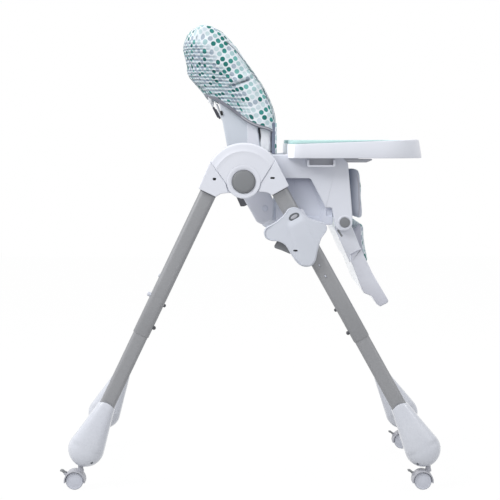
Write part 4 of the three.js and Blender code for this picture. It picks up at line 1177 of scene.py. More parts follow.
def buildFootPlate():
    matrix = calfFrame()
    half, low = calf["plateHalf"], -calf["length"]
    top = low - 0.7
    profile = outline([(-20, low - 13, 2), (-21, -160, 10), (-19, -169, 5), (-6, -181, 6), (-2, -203, 6),
                       (4, -212, 5), (28, -210, 6), (16.5, -134, 30), (12.8, top + 7.5, 1.5),
                       (-15.4, top + 4.5, 3)], 8)
    plate = prismPiece("footPlate", platePaintedShade, profile, roundedLevels(-half, half, 2.6, 2.6, 5), matrix)
    box = outline([(-7.7, -66), (60, -66), (60, -178), (-7.7, -178, 5)])
    cutPrism(plate, box, [(0, -half + 5), (0, half - 5)], matrix)
    bm = reopened(plate)
    tongue = outline([(-12.7, -90), (-7.7, -90), (-7.7, -36, 1.5), (-12.7, -36, 1.5)])
    addPrism(bm, tongue, [(0.8, -half + 20), (0, -half + 21), (0, half - 21), (0.8, half - 20)], matrix)
    for row in range(calf["ribs"]):
        height = -118 - row * calf["ribPitch"]
        rib = outline([(-8.5, height, 0.5), (-5.6, height - 1, 1.2), (-5.6, height - 3, 1.2),
                       (-8.5, height - 4, 0.5)], 3)
        addPrism(bm, rib, roundedLevels(-half + 24, half - 24, 1, 1, 2), matrix)
    putBack(bm, plate)
    # painted light: the plate's rear faces glow white
    paintLightBehind(plate, matrix, paintedLightPlastic)
    settle(plate, "foot_plate", "white_plastic", "foot_plate", degrees=32)


# tray: the moulded tray with a sloping rim, its insert, and the two latches
tray = {"back": 83, "front": 393, "half": 260, "low": 752, "floor": 762, "base": 4, "wall": 5,
        "rimRear": 783.5, "rimFront": 795, "cutHalf": 168, "cutFront": 172, "insertTop": 792.3,
        "frontLean": 7, "channel": (176.5, 215.5), "latch": (215, 244), "latchWeb": (223, 227),
        "pegRadius": 5, "pegLong": 7.6, "pegUp": 91}


def rimAt(x):
    t = (x - tray["back"]) / (tray["front"] - tray["back"])
    drop = 5 * min(max((x - 380) / 18, 0), 1) ** 2
    return tray["rimRear"] + (tray["rimFront"] - tray["rimRear"]) * t - drop


def frontLean(x, height):
    near = min(max((x - 330) / 60, 0), 1)
    return tray["frontLean"] * near * (height - tray["low"]) / (tray["rimFront"] - tray["low"])


def trayPlan():
    back, front, half = tray["back"], tray["front"], tray["half"]
    inner, cut = tray["cutHalf"], tray["cutFront"]
    return outline([(back, half, 34), (back, inner, 24), (cut, inner - 12, 90), (cut, -inner + 12, 90),
                    (back, -inner, 24), (back, -half, 34), (front, -half, 110), (front, half, 110)],
                   14, soft=True)


def addDish(bm, plan, levels):
    inwards = [moved - place for moved, place in zip(inset(plan, 1), plan)]
    rings = []
    for edge, height in levels:
        ring = []
        for index, place in enumerate(plan):
            distance = edge(place.x) if callable(edge) else edge
            level = height(place.x) if callable(height) else height
            moved = place + inwards[index] * (distance + frontLean(place.x, level))
            ring.append(bm.verts.new(chairFrame @ Vector((moved.x, moved.y, level))))
        rings.append(ring)
    skin(bm, rings)


def buildTray():
    plan = trayPlan()
    low, wall, floor = tray["low"], tray["wall"], tray["floor"]
    levels = [(wall + 0.5, floor), (wall, floor - 0.8), (wall, low + 1.4), (wall - 0.5, low + 0.4),
              (wall - 1.4, low), (1.6, low), (0.5, low + 0.5), (0, low + 1.6),
              (0, lambda x: (low + rimAt(x)) / 2)]
    for edge, drop in ((0, 2.4), (0.35, 1.1), (1.2, 0.3), (2.5, 0), (3.8, 0.3), (4.65, 1.1), (5, 2.4)):
        levels.append((edge, lambda x, drop=drop: rimAt(x) - drop))
    levels += [(wall, 770), (wall + 0.9, 767.2), (wall + 3, floor + tray["base"])]
    bm = bmesh.new()
    addDish(bm, plan, levels)
    body = newObject("trayBody", bm, trayPaintedLight)
    block = [Vector(p) for p in ((70, 735), (110, 735), (110, 760.5), (70, 760.5))]
    near, far = tray["channel"]
    for _, side in sides:
        cutPrism(body, block, [(0, near), (0, far)], chairFrame, side)
    # painted light: the tray's rear faces glow white
    paintLightBehind(body, chairFrame, trayEndPaintedLight)
    settle(body, "tray", "white_plastic", "tray", degrees=32)


def buildInsert():
    top, start = tray["insertTop"], tray["wall"] + 0.6

    def lipEdge(more):
        def edge(x):
            reach = min(max((top - 0.2 - rimAt(x)) / 0.8, 0), 1)
            return start + (2 - start) * reach + more * (1 + (1 - reach))
        return edge

    levels = [(8.5, 766.3), (6.4, 767), (start, 769), (start, lambda x: min(rimAt(x) + 0.3, top - 0.6) - 3),
              (start, lambda x: min(rimAt(x) + 0.3, top - 0.6)),
              (lipEdge(0.4), lambda x: min(rimAt(x) + 0.3, top - 0.6)),
              (lipEdge(0), lambda x: min(rimAt(x) + 0.8, top - 0.5)),
              (lipEdge(0), lambda x: min(max(rimAt(x) + 1, top - 2), top - 0.4)),
              (lipEdge(0.5), top - 0.35), (lipEdge(1.4), top), (8, top), (9, top - 0.6), (9.4, top - 2),
              (10.2, 775), (11.8, 771), (15, 769.4)]
    bm = bmesh.new()
    addDish(bm, trayPlan(), levels)
    settle(newObject("trayInsert", bm, mintPlastic), "tray_insert", "mint_plastic", "tray_insert",
           degrees=45)


def buildLatchAndPeg(tag, side):
    loop = outline([(126, 732, 5), (190, 732, 5), (190, 749, 1.2), (185, 749, 1.2), (185, 737, 2),
                    (131, 737, 2), (131, 749, 1.2), (126, 749, 1.2)])
    latch = prismPiece(f"trayLatch{tag}", whitePlastic, loop, roundedLevels(*tray["latch"], 1.2, 1.2, 3),
                       chairFrame, side)
    settle(latch, f"tray_latch_{tag}", "white_plastic", f"tray_latch_{tag}", degrees=35)
    # painted shade: the web inside the latch loop is grey for the shade under the tray
    web = outline([(131.2, 736), (184.8, 736), (184.8, 761.7), (131.2, 761.7)])
    near, far = tray["latchWeb"]
    settle(prismPiece(f"latchWeb{tag}", railGreyAndShade, web, [(0, near), (0, far)], chairFrame, side),
           f"tray_latch_{tag}", "grey_plastic")
    matrix = legFrame("rear") @ Matrix.Translation((-leg["offset"], side * leg["plane"], 0)) \
        @ Matrix.Rotation(math.pi / 2, 4, "Z")
    start = legTube["wide"] / 2 - 1
    profile = roundProfile(tray["pegRadius"], start, start + tray["pegLong"], 0, 1, dome=1)
    settle(lathePiece(f"trayPeg{tag}", wheelPlastic, profile, matrix, 0,
                      legTube["rear"]["seam"] + tray["pegUp"], 1, 28),
           "rear_frame", "wheel_plastic", f"tray_peg_{tag}")


buildSeatShell()
for tag, side in sides:
    buildArm(tag, side)
buildBackShell()
buildCalfRest()
buildFootPlate()
buildTray()
buildInsert()
for tag, side in sides:
    buildLatchAndPeg(tag, side)
print("seat, back shell, calf rest and tray are made")


# soft goods: dotted print, plain lining, webbing and binding
printCloth = {"pitch": 13.6, "dot": 0.41, "turnDeg": -31, "ground": "#dfe5ec", "wrinkleShade": "#8c9fae",
              "creaseShade": "#4e5c66", "wrinkle": (0.35, 0.3, 1), "pleats": 41, "wrinkleTiltDeg": -6,
              "dots": ((0, "#1f726c"), (0.16, "#3a8c86"), (0.3, "#a3c3c6"), (0.46, "#c0d4d8"),
                       (0.6, "#a5b3c0"), (0.78, "#c9d6dd"), (0.95, "#6fb0ab"))}


def wovenCloth(name, ground, shade, weave=1100, sheen=0.2, dotted=False):
    material, tree, surface, coords = newMaterial(name)
    place = coords.outputs["Object"]
    cloudy = addRange(tree, addNoise(tree, place, 14), 0, 1)
    color = mixColors(tree, cloudy, linear(ground), linear(shade))
    threads = []
    for direction in ("X", "Z"):
        wave = addNode(tree, "ShaderNodeTexWave", {"Scale": weave, "Distortion": 1.5},
                       bands_direction=direction)
        tree.links.new(place, wave.inputs["Vector"])
        threads.append(wave.outputs["Fac"])
    cross = scaled(tree, threads[0], threads[1])
    soft = addBump(tree, addNoise(tree, place, 70, 4, (1, 1, 2.2)), surface, 0.25, 0.002)
    if dotted:
        color, soft = addPrint(tree, surface, place, color, soft)
    tree.links.new(color, surface.inputs["Base Color"])
    addBump(tree, cross, surface, 0.2, 0.0004, soft)
    tree.links.new(addRange(tree, cloudy, 0.78, 0.9, 0, 1), surface.inputs["Roughness"])
    setInputs(surface, {"Sheen Weight": sheen, "Specular IOR Level": 0.25})
    return material


def scaled(tree, first, second):
    times = addNode(tree, "ShaderNodeMath", operation="MULTIPLY")
    tree.links.new(first, times.inputs[0])
    tree.links.new(second, times.inputs[1])
    return times.outputs["Value"]


def readAttribute(tree, name):
    return addNode(tree, "ShaderNodeAttribute", attribute_name=name).outputs["Fac"]


# rows of round dots in mixed tones, and the fine wrinkles where the cloth is gathered, with painted shade in the
# wrinkle hollows and along the side creases
def addPrint(tree, surface, place, color, soft):
    pitch, dot = printCloth["pitch"], printCloth["dot"]
    uv = addNode(tree, "ShaderNodeUVMap", uv_map="cloth")
    mapping = addNode(tree, "ShaderNodeMapping", {
        "Scale": (1000 / pitch,) * 3, "Rotation": (0, 0, math.radians(printCloth["turnDeg"]))})
    cells = addNode(tree, "ShaderNodeTexVoronoi", voronoi_dimensions="2D")
    setInputs(cells, {"Scale": 1, "Randomness": 0})
    wire(tree, (uv, "UV", mapping, "Vector"), (mapping, "Vector", cells, "Vector"))
    mask = addRange(tree, cells.outputs["Distance"], 1, 0, dot - 0.03, dot + 0.03)
    split = addNode(tree, "ShaderNodeSeparateColor")
    ramp = addNode(tree, "ShaderNodeValToRGB")
    ramp.color_ramp.interpolation = "CONSTANT"
    marks = ramp.color_ramp.elements
    while len(marks) < len(printCloth["dots"]):
        marks.new(0.5)
    for mark, (start, tone) in zip(marks, printCloth["dots"]):
        mark.position = start
        mark.color = linear(tone)
    wire(tree, (cells, "Color", split, "Color"), (split, "Red", ramp, "Fac"))
    color = mixColors(tree, mask, color, ramp.outputs["Color"])
    gather = readAttribute(tree, "gather")
    tilt = addNode(tree, "ShaderNodeMapping", {
        "Rotation": (0, math.radians(printCloth["wrinkleTiltDeg"]), 0), "Scale": printCloth["wrinkle"]})
    tree.links.new(place, tilt.inputs["Vector"])
    pleats = addNode(tree, "ShaderNodeTexWave", {
        "Scale": printCloth["pleats"], "Distortion": 3.5, "Detail Scale": 0.6}, bands_direction="Z")
    wire(tree, (tilt, "Vector", pleats, "Vector"))
    wrinkles = pleats.outputs["Fac"]
    # painted shade: the hollows of the gathered wrinkles are darkened
    hollow = scaled(tree, addRange(tree, wrinkles, 0.75, 0.12, 0.1, 0.75), gather)
    color = mixColors(tree, hollow, color, linear(printCloth["wrinkleShade"]), "MULTIPLY")
    color = mixColors(tree, readAttribute(tree, "creaseShade"), color, linear(printCloth["creaseShade"]), "MULTIPLY")
    ripple = scaled(tree, wrinkles, gather)
    return color, addBump(tree, ripple, surface, 0.6, 0.003, soft)


# painted shade: the wings are darker behind their front edge, where shade falls by the arm posts
def paintWingShade(material, low=0.226, high=0.249):
    tree = material.node_tree
    place = addNode(tree, "ShaderNodeSeparateXYZ")
    wire(tree, (tree.nodes["Texture Coordinate"], "Object", place, "Vector"))
    base = tree.nodes["Principled BSDF"].inputs["Base Color"]
    fade = addRange(tree, place.outputs["X"], 1, 0, low, high)
    color = mixColors(tree, fade, base.links[0].from_socket, linear("#a2a7b2"), "MULTIPLY")
    tree.links.new(color, base)


dottedFabric = wovenCloth("dottedFabric", printCloth["ground"], "#e6ebef", dotted=True)
liningFabric = wovenCloth("liningFabric", "#eceef1", "#e2e4e9")
wingFabric = wovenCloth("wingFabric", "#c6cad6", "#b6bbc9", weave=1300)
paintWingShade(wingFabric)
calfFabric = wovenCloth("calfFabric", "#c2c4d0", "#b4b6c3", weave=1300)
greyBinding = wovenCloth("greyBinding", "#83858f", "#777984", weave=1600)
paleBinding = wovenCloth("paleBinding", "#b7b6bc", "#adacb3", weave=1600)
# the straps' own dark webbing; the same cloth is painted shade in the gap behind the back pad lining
webbingAndGapShade = wovenCloth("webbingAndGapShade", "#55565e", "#4a4b52", weave=1500, sheen=0.1)
whiteTape = wovenCloth("whiteTape", "#e6e8ec", "#dcdfe4", weave=1600)


def inflate(piece, cloth):
    remesh = piece.modifiers.new("evenMesh", "REMESH")
    remesh.mode = "VOXEL"
    remesh.voxel_size = cloth["voxel"] * mm
    applyModifiers(piece)
    start = [v.co.copy() for v in piece.data.vertices]
    padding = piece.modifiers.new("padding", "CLOTH")
    padding.settings.use_pressure = True
    padding.settings.uniform_pressure_force = cloth["pressure"]
    padding.settings.effector_weights.gravity = 0
    padding.settings.quality = 4
    padding.point_cache.frame_start = 1
    padding.point_cache.frame_end = cloth["frames"]
    for frameNumber in range(1, cloth["frames"] + 1):
        bpy.context.scene.frame_set(frameNumber)
    graph = bpy.context.evaluated_depsgraph_get()
    swollen = [v.co.copy() for v in piece.evaluated_get(graph).data.vertices]
    piece.modifiers.clear()
    bpy.context.scene.frame_set(1)
    limit = cloth["cap"] * mm  # keeps the pad inside its space
    for vertex, before, after in zip(piece.data.vertices, start, swollen):
        move = after - before
        vertex.co = before + (move.normalized() * limit if move.length > limit else move)
    smooth = piece.modifiers.new("calm", "SMOOTH")
    smooth.factor = 0.5
    smooth.iterations = cloth["calm"]
    finer = piece.modifiers.new("finer", "SUBSURF")
    finer.levels = finer.render_levels = 1
    applyModifiers(piece)


def crumple(piece, amount):
    mesh = piece.data
    normals = [v.normal.copy() for v in mesh.vertices]
    for vertex, normal in zip(mesh.vertices, normals):
        vertex.co += normal * amount(vertex.co / mm, normal) * mm


def smoothed(values, rounds=2, closed=False):
    for _ in range(rounds):
        around = [values[-1]] + values + [values[0]] if closed else [values[0]] + values + [values[-1]]
        values = [(a + b * 2 + c) / 4 for a, b, c in zip(around, around[1:], around[2:])]
    return values


def clothProfile(points, gap):
    return [Vector((p.x + shift, p.y)) * mm for p in alongLine(points, gap)]


def alongLine(points, gap=5):
    line = [Vector(p) for p in points]
    dense = []
    for a, b in zip(line, line[1:]):
        count = max(1, round((b - a).length / gap))
        dense += [a.lerp(b, i / count) for i in range(count)]
    return dense + [line[-1]]


# cloth coordinates in metres: flat on the two sides, unrolled over the edge between them
def addClothMap(piece, half, profile, pull=None):
    mesh = piece.data
    layer = mesh.uv_layers.new(name="cloth")
    lengths = [0]
    for a, b in zip(profile, profile[1:]):
        lengths.append(lengths[-1] + (b - a).length)
    flat = []
    for vertex in mesh.vertices:
        x, y, z = vertex.co
        outward = vertex.normal.xz
        outward = outward.normalized() if outward.length > 0.05 else outward
        here = Vector((x, z)) + outward * (max(half * mm - abs(y), 0) * 0.8)
        flat.append(here + (pull(x / mm - shift, z / mm) * mm if pull else Vector((0, 0))))
    rolled = {}
    for polygon in mesh.polygons:
        sideways = abs(polygon.normal.y) > 0.35
        for loop in polygon.loop_indices:
            index = mesh.loops[loop].vertex_index
            if not sideways and index not in rolled:
                x, y, z = mesh.vertices[index].co
                here = Vector((x, z))
                best = min(range(len(profile) - 1), key=lambda i: (profile[i] - here).length_squared)
                along = (profile[best + 1] - profile[best]).normalized()
                rolled[index] = Vector((y + 0.5, lengths[best] + (here - profile[best]).dot(along)))
            layer.data[loop].uv = flat[index] if sideways else rolled[index]


def paintVertices(piece, name, value):
    layer = piece.data.attributes.new(name, "FLOAT", "POINT")
    for vertex, mark in zip(piece.data.vertices, layer.data):
        mark.value = value(vertex.co / mm, vertex.normal)


def lineSides(piece, lining, keep=None, limit=0.6):
    piece.data.materials.append(lining)
    for polygon in piece.data.polygons:
        if abs(polygon.normal.y) > limit and not (keep and keep(polygon.center / mm)):
            polygon.material_index = 1


# back cover: a padded hood over the shell, gathered behind, with a deep crease in each side
hood = {"voxel": 4.5, "pressure": 4, "frames": 20, "cap": 3.5, "calm": 2, "half": 175.5,
        "shellGap": 0.8,
        "span": [(7, 46, 175.5), (4, 37, 174.5), (1.5, 28, 171), (0, 20, 165), (0, 12, 156), (0, 6, 144),
                 (0, 2, 126), (0, 0, 100)],
        "outline": [
            (-92, 866, 4), (-104, 897, 8), (-123, 920, 14), (-141, 940, 8), (-147, 951, 6),
            (-145, 963, 8), (-152, 990, 20), (-158, 1014, 16), (-152, 1036, 12), (-138, 1051, 10),
            (-117, 1061, 12), (-88, 1055, 14), (-66, 1037, 16), (-49, 1018, 16), (-34, 1001.5, 16),
            (-22, 982.5, 16), (-7.5, 962.5, 16), (7.5, 941.5, 16), (22.5, 919, 16), (34.5, 897.5, 16),
            (44.5, 875, 16), (51.5, 855, 14), (54.2, 838, 10), (54.6, 818, 6), (54.6, 786, 4),
            (-40, 790, 4)]}
hem = [(-106, 892), (-93, 890), (-82, 886.5), (-65, 875), (-45, 862.5), (-27, 848), (-10, 835),
       (10, 825), (27, 819.5), (40, 816.5), (49, 811), (58, 806)]
crease = {"from": -56, "to": 4, "low": 917, "slope": 0.35, "deep": 6.5, "roll": 4.5}
# the cloth is gathered below and behind this line, and less towards the front
gatherLine = {"x": -61, "z": 967, "slope": 1.15, "length": 1.52, "fade": (-45, 12), "top": 1036}


def behindLine(x, z):
    slope = gatherLine["slope"]
    return (gatherLine["z"] - slope * (x - gatherLine["x"]) - z) / gatherLine["length"]


def gathered(x, z):
    rear = 1 - ease(x, *gatherLine["fade"])
    return ease(behindLine(x, z), -6, 24) * rear * ease(gatherLine["top"] - z, 0, 34)


def creaseAt(x, z):
    t = (x - crease["from"]) / (crease["to"] - crease["from"])
    reach = math.sin(math.pi * t) ** 0.7 if 0 < t < 1 else 0
    return z - crease["low"] - crease["slope"] * (x + 44), reach


def hoodFolds(place, normal):
    x, y, z = place
    x -= shift
    behind = gathered(x, z)
    sideways = ease(abs(normal.y), 0.15, 0.6)
    warp = 7 * noise.noise(Vector((x / 60, y / 300, z / 45)))
    tilted = z - 0.1 * x + warp
    fine = noise.noise(Vector((x / 46, y / 90, tilted / 8)))
    broad = noise.noise(Vector((x / 60, y / 90, tilted / 17)))
    gather = (1.6 * fine + 1.3 * broad) * behind * (0.5 + 0.5 * sideways)
    above, reach = creaseAt(x, z)
    roll = crease["roll"] * math.exp(-((above - 9) / 6.5) ** 2)
    fold = roll - crease["deep"] * math.exp(-(above / 3) ** 2)
    ripple = 1.3 * noise.noise(Vector((x / 50, y / 90, (z - 0.15 * x) / 11))) * ease(905 - z, -20, 20)
    drape = 1.2 * noise.noise(Vector((x / 36, y / 50, z / 28)))
    return gather + (fold * reach + ripple) * sideways + drape * (0.3 + 0.7 * sideways)


# painted shade: how dark each side crease is painted, strongest in its middle
def hoodCreaseShade(place, normal):
    above, reach = creaseAt(place.x - shift, place.z)
    middle = math.exp(-((place.x - shift + 13) / 14) ** 2)
    dark = math.exp(-(above / 2.2) ** 2) * reach * (0.3 + 0.7 * middle)
    return dark if abs(place.y) > 150 else 0


def pulledCloth(x, z):
    behind = max(behindLine(x, z), 0)
    behind *= 1 - ease(x, *gatherLine["fade"])
    wave = 2.6 * noise.noise(Vector((x / 36, 0, z / 6))) * gathered(x, z)
    return Vector((-0.55 * behind * behind / (behind + 30), 0.5 * behind * (z - 965) / 60 + wave))


def buildBackCover():
    points = smoothed(alongLine(outline(hood["outline"], 4) + [Vector(hood["outline"][0][:2])], 7)[:-1],
                      1, closed=True)
    following = points[1:] + points[:1]
    rearward = []
    for index in range(len(points)):
        along = (following[index] - points[index - 1]).normalized()
        rearward.append(ease(along.y, 0.1, 0.9) * (0.4 + 0.6 * ease(points[index].y, 890, 950)))
    rearward = smoothed(rearward, 4, closed=True)
    levels = [(front, rear, -reach) for front, rear, reach in hood["span"]]
    levels += [(front, rear, reach) for front, rear, reach in hood["span"][::-1]]
    bm = bmesh.new()
    skin(bm, [[bm.verts.new(chairFrame @ Vector((p.x + rear * w, y, p.y - 0.25 * rear * w)))
               for p, w in zip(inset(points, front), rearward)] for front, rear, y in levels])
    cover = newObject("backCover", bm, dottedFabric)
    inflate(cover, hood)
    skirt = [(-150, 892), *hem, (90, 806), (90, 740), (-150, 740)]
    cutPrism(cover, [Vector(p) for p in skirt], [(0, -230), (0, 230)], chairFrame)
    addClothMap(cover, hood["half"], clothProfile(points, 2), pulledCloth)
    paintVertices(cover, "gather", lambda place, normal: gathered(place.x - shift, place.z))
    paintVertices(cover, "creaseShade", hoodCreaseShade)
    crumple(cover, hoodFolds)
    gap = hood["shellGap"]
    room = backShell["half"] + gap
    cutPrism(cover, inset(outline(backShell["corners"], 4), -gap), [(0, -room), (0, room)], chairFrame)
    settle(cover, "backrest", "fabric", "back_cover", degrees=70)
    return cover


def bandSection(wide, thick, steps=6):
    half, end = wide / 2 - thick / 2, thick / 2
    return [(s * half + end * math.cos(a), end * math.sin(a))
            for s, first in ((1, -math.pi / 2), (-1, math.pi / 2))
            for a in (first + math.pi * i / steps for i in range(steps + 1))]


def addBand(bm, path, normals, wide, thick):
    rings = []
    for index, here in enumerate(path):
        ahead = (path[min(index + 1, len(path) - 1)] - path[max(index - 1, 0)]).normalized()
        across = ahead.cross(normals[index]).normalized()
        over = across.cross(ahead).normalized()
        rings.append([bm.verts.new(here + (across * a + over * b) * mm)
                      for a, b in bandSection(wide, thick)])
    skin(bm, rings)


def sweptCord(name, points, radius, material):
    bm = bmesh.new()
    addSweep(bm, points, [(a * mm, b * mm) for a, b in circleSection(radius, 10)], (0, 1, 0))
    return newObject(name, bm, material)


def laidPath(surface, starts, direction, lift):
    path, normals = [], []
    for start in starts:
        place, normal = surfacePoint(surface, start, direction, lift)
        if place:
            path.append(place)
            normals.append(normal)
    return path, normals


def edgeOnSide(surface, line, side, lift):
    starts = [Vector(((x + shift) * mm, side * castFrom, z * mm)) for x, z in alongLine(line, 6)]
    path = laidPath(surface, starts, Vector((0, -side, 0)), lift)[0]
    return smoothed(path, 3) if len(path) > 3 else []


hemBand = {"wide": 7.4, "thick": 3, "above": 2.4, "castAbove": 3.4}
# what hangs out at the hem's rear corner: name, corners, near, far
strapEnds = (("strapTape", [(-96, 882, 0.6), (-88, 864, 0.6), (-86, 865, 0.6), (-94, 883, 0.6)], 132, 146),
             ("strapEnd", [(-89, 867, 2), (-85, 870, 2), (-72.5, 847, 2), (-77, 843, 2)], 128, 150))
piping = [(-60, 1020), (-49, 1010.5), (-36, 998.5), (-22.3, 982.5), (-7.3, 962),
          (7.7, 941), (22.7, 918.2), (34.2, 897), (43.8, 874.5), (50.2, 855), (52.5, 838), (52.6, 818)]


# the grey hem, a thin cord inside the front edge, and what shows at the hem's rear corner
def buildCoverTrim(cover):
    surface = surfaceOf(cover)
    for tag, side in sides:
        path, normals = [], []
        for x, z in alongLine(hem):
            start = Vector(((x + shift) * mm, side * castFrom, (z + hemBand["castAbove"]) * mm))
            place, normal = surfacePoint(surface, start, Vector((0, -side, 0)), 0.2)
            if place:
                path.append(Vector((place.x, place.y, (z + hemBand["above"]) * mm)))
                normals.append(normal)
        path, normals = smoothed(path), smoothed(normals, 5)
        half = len(path) * 11 // 20
        lifted = [p + Vector((0, side * 0.9 * mm, 0)) for p in path[half:]]
        for name, line, facing, wide, thick, cloth in (
                ("hemBinding", path, normals, hemBand["wide"], hemBand["thick"], greyBinding),
                ("hemFold", lifted, normals[half:], 3, 2, paleBinding)):
            bm = bmesh.new()
            addBand(bm, line, facing, wide, thick)
            settle(newObject(name + tag, bm, cloth), "backrest", "webbing", degrees=60)
        cord = sweptCord(f"coverPiping{tag}", edgeOnSide(surface, piping, side, 0.3), 1.1, greyBinding)
        settle(cord, "backrest", "fabric", degrees=60)

        tab = outline([(-98.5, 892, 1), (-98, 879, 1.5), (-91, 878, 1.5), (-90, 892, 1)], 3)
        levels = roundedLevels(150, 152.5, 0.5, 0.5, 2)
        settle(prismPiece(f"hemTab{tag}", whiteTape, tab, levels, chairFrame, side), "backrest", "fabric")
        for name, corners, near, far in strapEnds:
            cloth = whiteTape if name == "strapTape" else webbingAndGapShade
            levels = roundedLevels(near, far, 0.5, 0.5, 2)
            settle(prismPiece(name + tag, cloth, outline(corners, 3), levels, chairFrame, side),
                   "backrest", "webbing")
        slide = outline([(-71.5, 859, 1), (-69, 849, 1), (-64, 850, 1), (-66, 860, 1)], 3)
        levels = roundedLevels(168.2, 171, 0.6, 0.6, 2)
        settle(prismPiece(f"strapSlide{tag}", holeShadeAndBlackPlastic, slide, levels, chairFrame, side),
               "backrest", "dark_plastic")
        line = [Vector((x + shift, side * 161, z)) * mm for x, z in alongLine(
            [(-84, 884), (-79, 872), (-74, 858), (-69, 845), (-65, 836)], 4)]
        settle(sweptCord(f"backTape{tag}", smoothed(line), 1.3, whiteTape), "backrest", "fabric",
               degrees=60)


# the lower end of the back pad shows below the hood: lining, a dark band painted as the shade of a fold, and the
# print in front; behind them a dark strip is painted as the shade in the gap to the shell
lowerPad = {"voxel": 3.5, "pressure": 4, "frames": 12, "cap": 2, "calm": 2, "half": 167}
lowerLayers = (  # name, corners, half width, cloth
    # painted shade: a dark strip in the gap between the shell and the lining
    ("backPadGapShade", [(17.5, 765, 1), (24, 765, 1), (24, 834, 1), (17.5, 834, 1)], 164, webbingAndGapShade),
    # painted shade: a dark band for the shade of a fold behind the front print
    ("backPadFoldShade", [(47.5, 761.5, 3), (57, 760.5, 3), (57.5, 790, 8), (57.4, 833, 3), (47.5, 833, 3)],
     171, wingFabric),
    ("backPadFront", [(55.2, 761, 1), (58.6, 760.5, 1), (59.2, 790, 8), (58.8, 832, 1), (55.2, 832, 1)],
     174, dottedFabric))


def buildLowerPad():
    behind = outline([(20.5, 765, 4), (47, 764, 4), (47, 834, 5), (20.5, 834, 5)])
    lining = prismPiece("backPadLining", liningFabric, behind,
                        roundedLevels(-lowerPad["half"], lowerPad["half"], 5, 5), chairFrame)
    inflate(lining, lowerPad)
    crumple(lining, lambda place, normal: 1.8 * noise.noise(Vector((
        place.x / 8, place.y / 40, (place.z + place.x) / 17))))
    settle(lining, "backrest", "fabric", degrees=70)
    for name, corners, half, cloth in lowerLayers:
        points = alongLine(outline(corners) + [Vector(corners[0][:2])], 4)[:-1]
        piece = prismPiece(name, cloth, points, roundedLevels(-half, half, 2, 2), chairFrame)
        addClothMap(piece, half, [Vector((p.x + shift, p.y)) * mm for p in points])
        settle(piece, "backrest", "fabric", degrees=70)


# seat pad: cushion with a wing along each arm, one stuffed form
seatPad = {"voxel": 4.5, "pressure": 4, "frames": 18, "cap": 3.5, "calm": 3, "half": 172,
           "wing": (175, 194.5), "mapHalf": 196}
wingEdge = [(246.5, 617), (247.5, 642), (245.5, 692), (241, 716)]


def buildSeatPad():
    cushion = outline([(75, 624, 6), (222, 624, 8), (221, 640, 10), (198, 645, 12), (75, 644, 10)])
    wing = outline([(75, 624, 4), (221, 624, 4), (226, 620.5, 4), (238, 618, 4), (255.5, 614, 4),
                    (256, 640, 20), (254, 692, 20), (249, 724, 12), (238, 730.5, 8),
                    (219, 730, 6), (212, 702, 30), (88, 688, 20), (75, 678, 8)])
    pad = prismPiece("seatPad", dottedFabric, cushion,
                     roundedLevels(-seatPad["half"], seatPad["half"], 3, 3), chairFrame)
    whole = reopened(pad)
    for _, side in sides:
        addPrism(whole, wing, roundedLevels(*seatPad["wing"], 4, 3), chairFrame, side)
    putBack(whole, pad)
    inflate(pad, seatPad)
    addClothMap(pad, seatPad["mapHalf"], clothProfile(wing, 3))
    crumple(pad, lambda place, normal: 1.1 * noise.noise(place / 30)
            + 0.7 * noise.noise(Vector((place.x / 10, place.y / 30, place.z / 24))))
    lineSides(pad, wingFabric)
    settle(pad, "seat", "fabric", "seat_pad", degrees=70)
    surface = surfaceOf(pad)
    for tag, side in sides:
        edge = edgeOnSide(surface, wingEdge, side, 0.2)
        if edge:
            settle(sweptCord(f"wingPiping{tag}", edge, 1, paleBinding), "seat", "fabric", degrees=60)
    return pad


# calf pad: narrower than the room between the wings, so that it swings up between them
calfPad = {"voxel": 4, "pressure": 4, "frames": 16, "cap": 2.5, "calm": 2, "half": 168.5,
           "front": [(37.5, -13), (38.3, -24), (28.3, -50), (22.3, -72), (15.3, -114)]}


def buildCalfPad():
    matrix, half = calfFrame(), calfPad["half"]
    side = outline([(14, -23, 4), (37.2, -15.5, 5), (38, -25, 8), (28, -51, 14), (22, -73, 16),
                    (16, -111.5, 4), (2, -111.5, 4), (-5, -99, 4), (-5, -26.5, 4)])
    pad = prismPiece("calfPad", dottedFabric, side, roundedLevels(-half, half, 4, 4), matrix)
    inflate(pad, calfPad)
    addClothMap(pad, half + 2, [(matrix @ Vector((p.x, 0, p.y))).xz for p in alongLine(side, 3)])
    crumple(pad, lambda place, normal: 0.9 * noise.noise(place / 22))
    back = matrix.inverted()

    def nearFront(place):
        x, y, z = back @ (place * mm)
        for (ax, az), (bx, bz) in zip(calfPad["front"], calfPad["front"][1:]):
            if bz <= z <= az:
                return x > ax + (bx - ax) * (az - z) / (az - bz) - 5
        return False

    lineSides(pad, calfFabric, nearFront)
    settle(pad, "calf_rest", "fabric", "calf_pad", degrees=70)


# harness: lap and crotch straps in a buckle, and two shoulder straps down the back pad
strap = {"wide": 25, "thick": 1.6, "lapLift": 1.4, "lapFrom": 720, "shoulderLift": 1.2,
         "shoulderAside": 62, "shoulderTop": 955, "tongueAt": 817}
buckle = {"x": 150, "thick": 13}


def layStrap(bm, surface, points, direction, lift):
    path, normals = laidPath(surface, points, direction, lift)
    addBand(bm, smoothed(path, 4), smoothed(normals, 6), strap["wide"], strap["thick"])


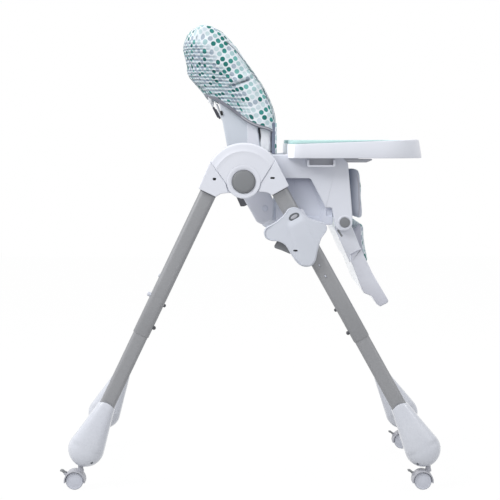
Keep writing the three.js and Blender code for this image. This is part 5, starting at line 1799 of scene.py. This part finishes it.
def buildHarness(pad, cover):
    padSurface, coverSurface = surfaceOf(pad), surfaceOf(cover)
    down, back = Vector((0, 0, -1)), Vector((-1, 0, 0))
    x = buckle["x"] + shift
    bm = bmesh.new()
    above = strap["lapFrom"]
    rows = [[Vector((x, side * (12 + i * 6), above)) * mm for i in range(26)] for _, side in sides]
    for row in rows + [[Vector((x + 14 + i * 4, 0, above)) * mm for i in range(15)]]:
        layStrap(bm, padSurface, row, down, strap["lapLift"])
    settle(newObject("lapStraps", bm, webbingAndGapShade), "seat", "webbing", "lap_harness", degrees=60)

    height = surfacePoint(padSurface, Vector((x, 0, above)) * mm, down, 0)[0].z / mm + 1
    thick = buckle["thick"]
    body = outline([(-28, -15, 8), (28, -22, 10), (28, 22, 10), (-28, 15, 8)], 8)
    lying = chairFrame @ Matrix.Translation((buckle["x"], 0, height)) @ Matrix.Rotation(
        math.pi / 2, 4, "X")
    bm = bmesh.new()
    addPrism(bm, body, roundedLevels(0, thick, 1.5, 4, 5), lying, 1)
    addLathe(bm, roundProfile(9, thick - 1, thick + 1, 0, 0.8, dome=0.6), lying, 4, 0, 1, 40)
    settle(newObject("harnessBuckle", bm, greyPlastic), "seat", "dark_plastic")

    tip = outline([(-15, 9, 3), (15, 9, 3), (10, -14, 4), (5, -26, 3), (-5, -26, 3), (-10, -14, 4)])
    for tag, side in sides:
        y = side * strap["shoulderAside"] * mm
        bm = bmesh.new()
        row = [Vector((castFrom, y, (strap["shoulderTop"] - i * 6) * mm)) for i in range(24)]
        layStrap(bm, coverSurface, row, back, strap["shoulderLift"])
        settle(newObject(f"shoulderStrap{tag}", bm, webbingAndGapShade), "backrest", "webbing", degrees=60)
        place, normal = surfacePoint(coverSurface, Vector((castFrom, y, strap["tongueAt"] * mm)), back, 0)
        tilt = normal.to_track_quat("Y", "Z").to_matrix().to_4x4()
        lying = Matrix.Translation(place) @ tilt @ Matrix.Scale(mm, 4)
        settle(prismPiece(f"strapTongue{tag}", greyPlastic, tip, roundedLevels(0.6, 5, 0.8, 1.6), lying),
               "backrest", "dark_plastic")


cover = buildBackCover()
buildCoverTrim(cover)
buildLowerPad()
pad = buildSeatPad()
buildCalfPad()
buildHarness(pad, cover)
print("back cover, pads and harness are made")


# CAD pieces that keep their own mesh
finishes = {"white_plastic": whitePlastic, "grey_plastic": greyPlastic, "dark_plastic": darkPlastic,
            "wheel_plastic": wheelPlastic, "mint_plastic": mintPlastic, "painted_tube": tubePaint,
            "steel": screwSteel, "fabric": whitePlastic, "webbing": darkPlastic}
for name, node in frame["nodes"].items():
    look = next((s["material_slot"] for s in frame["record"]["subparts"] if s["node"] == name), None)
    node.data.materials.clear()
    node.data.materials.append(finishes.get(look, whitePlastic))
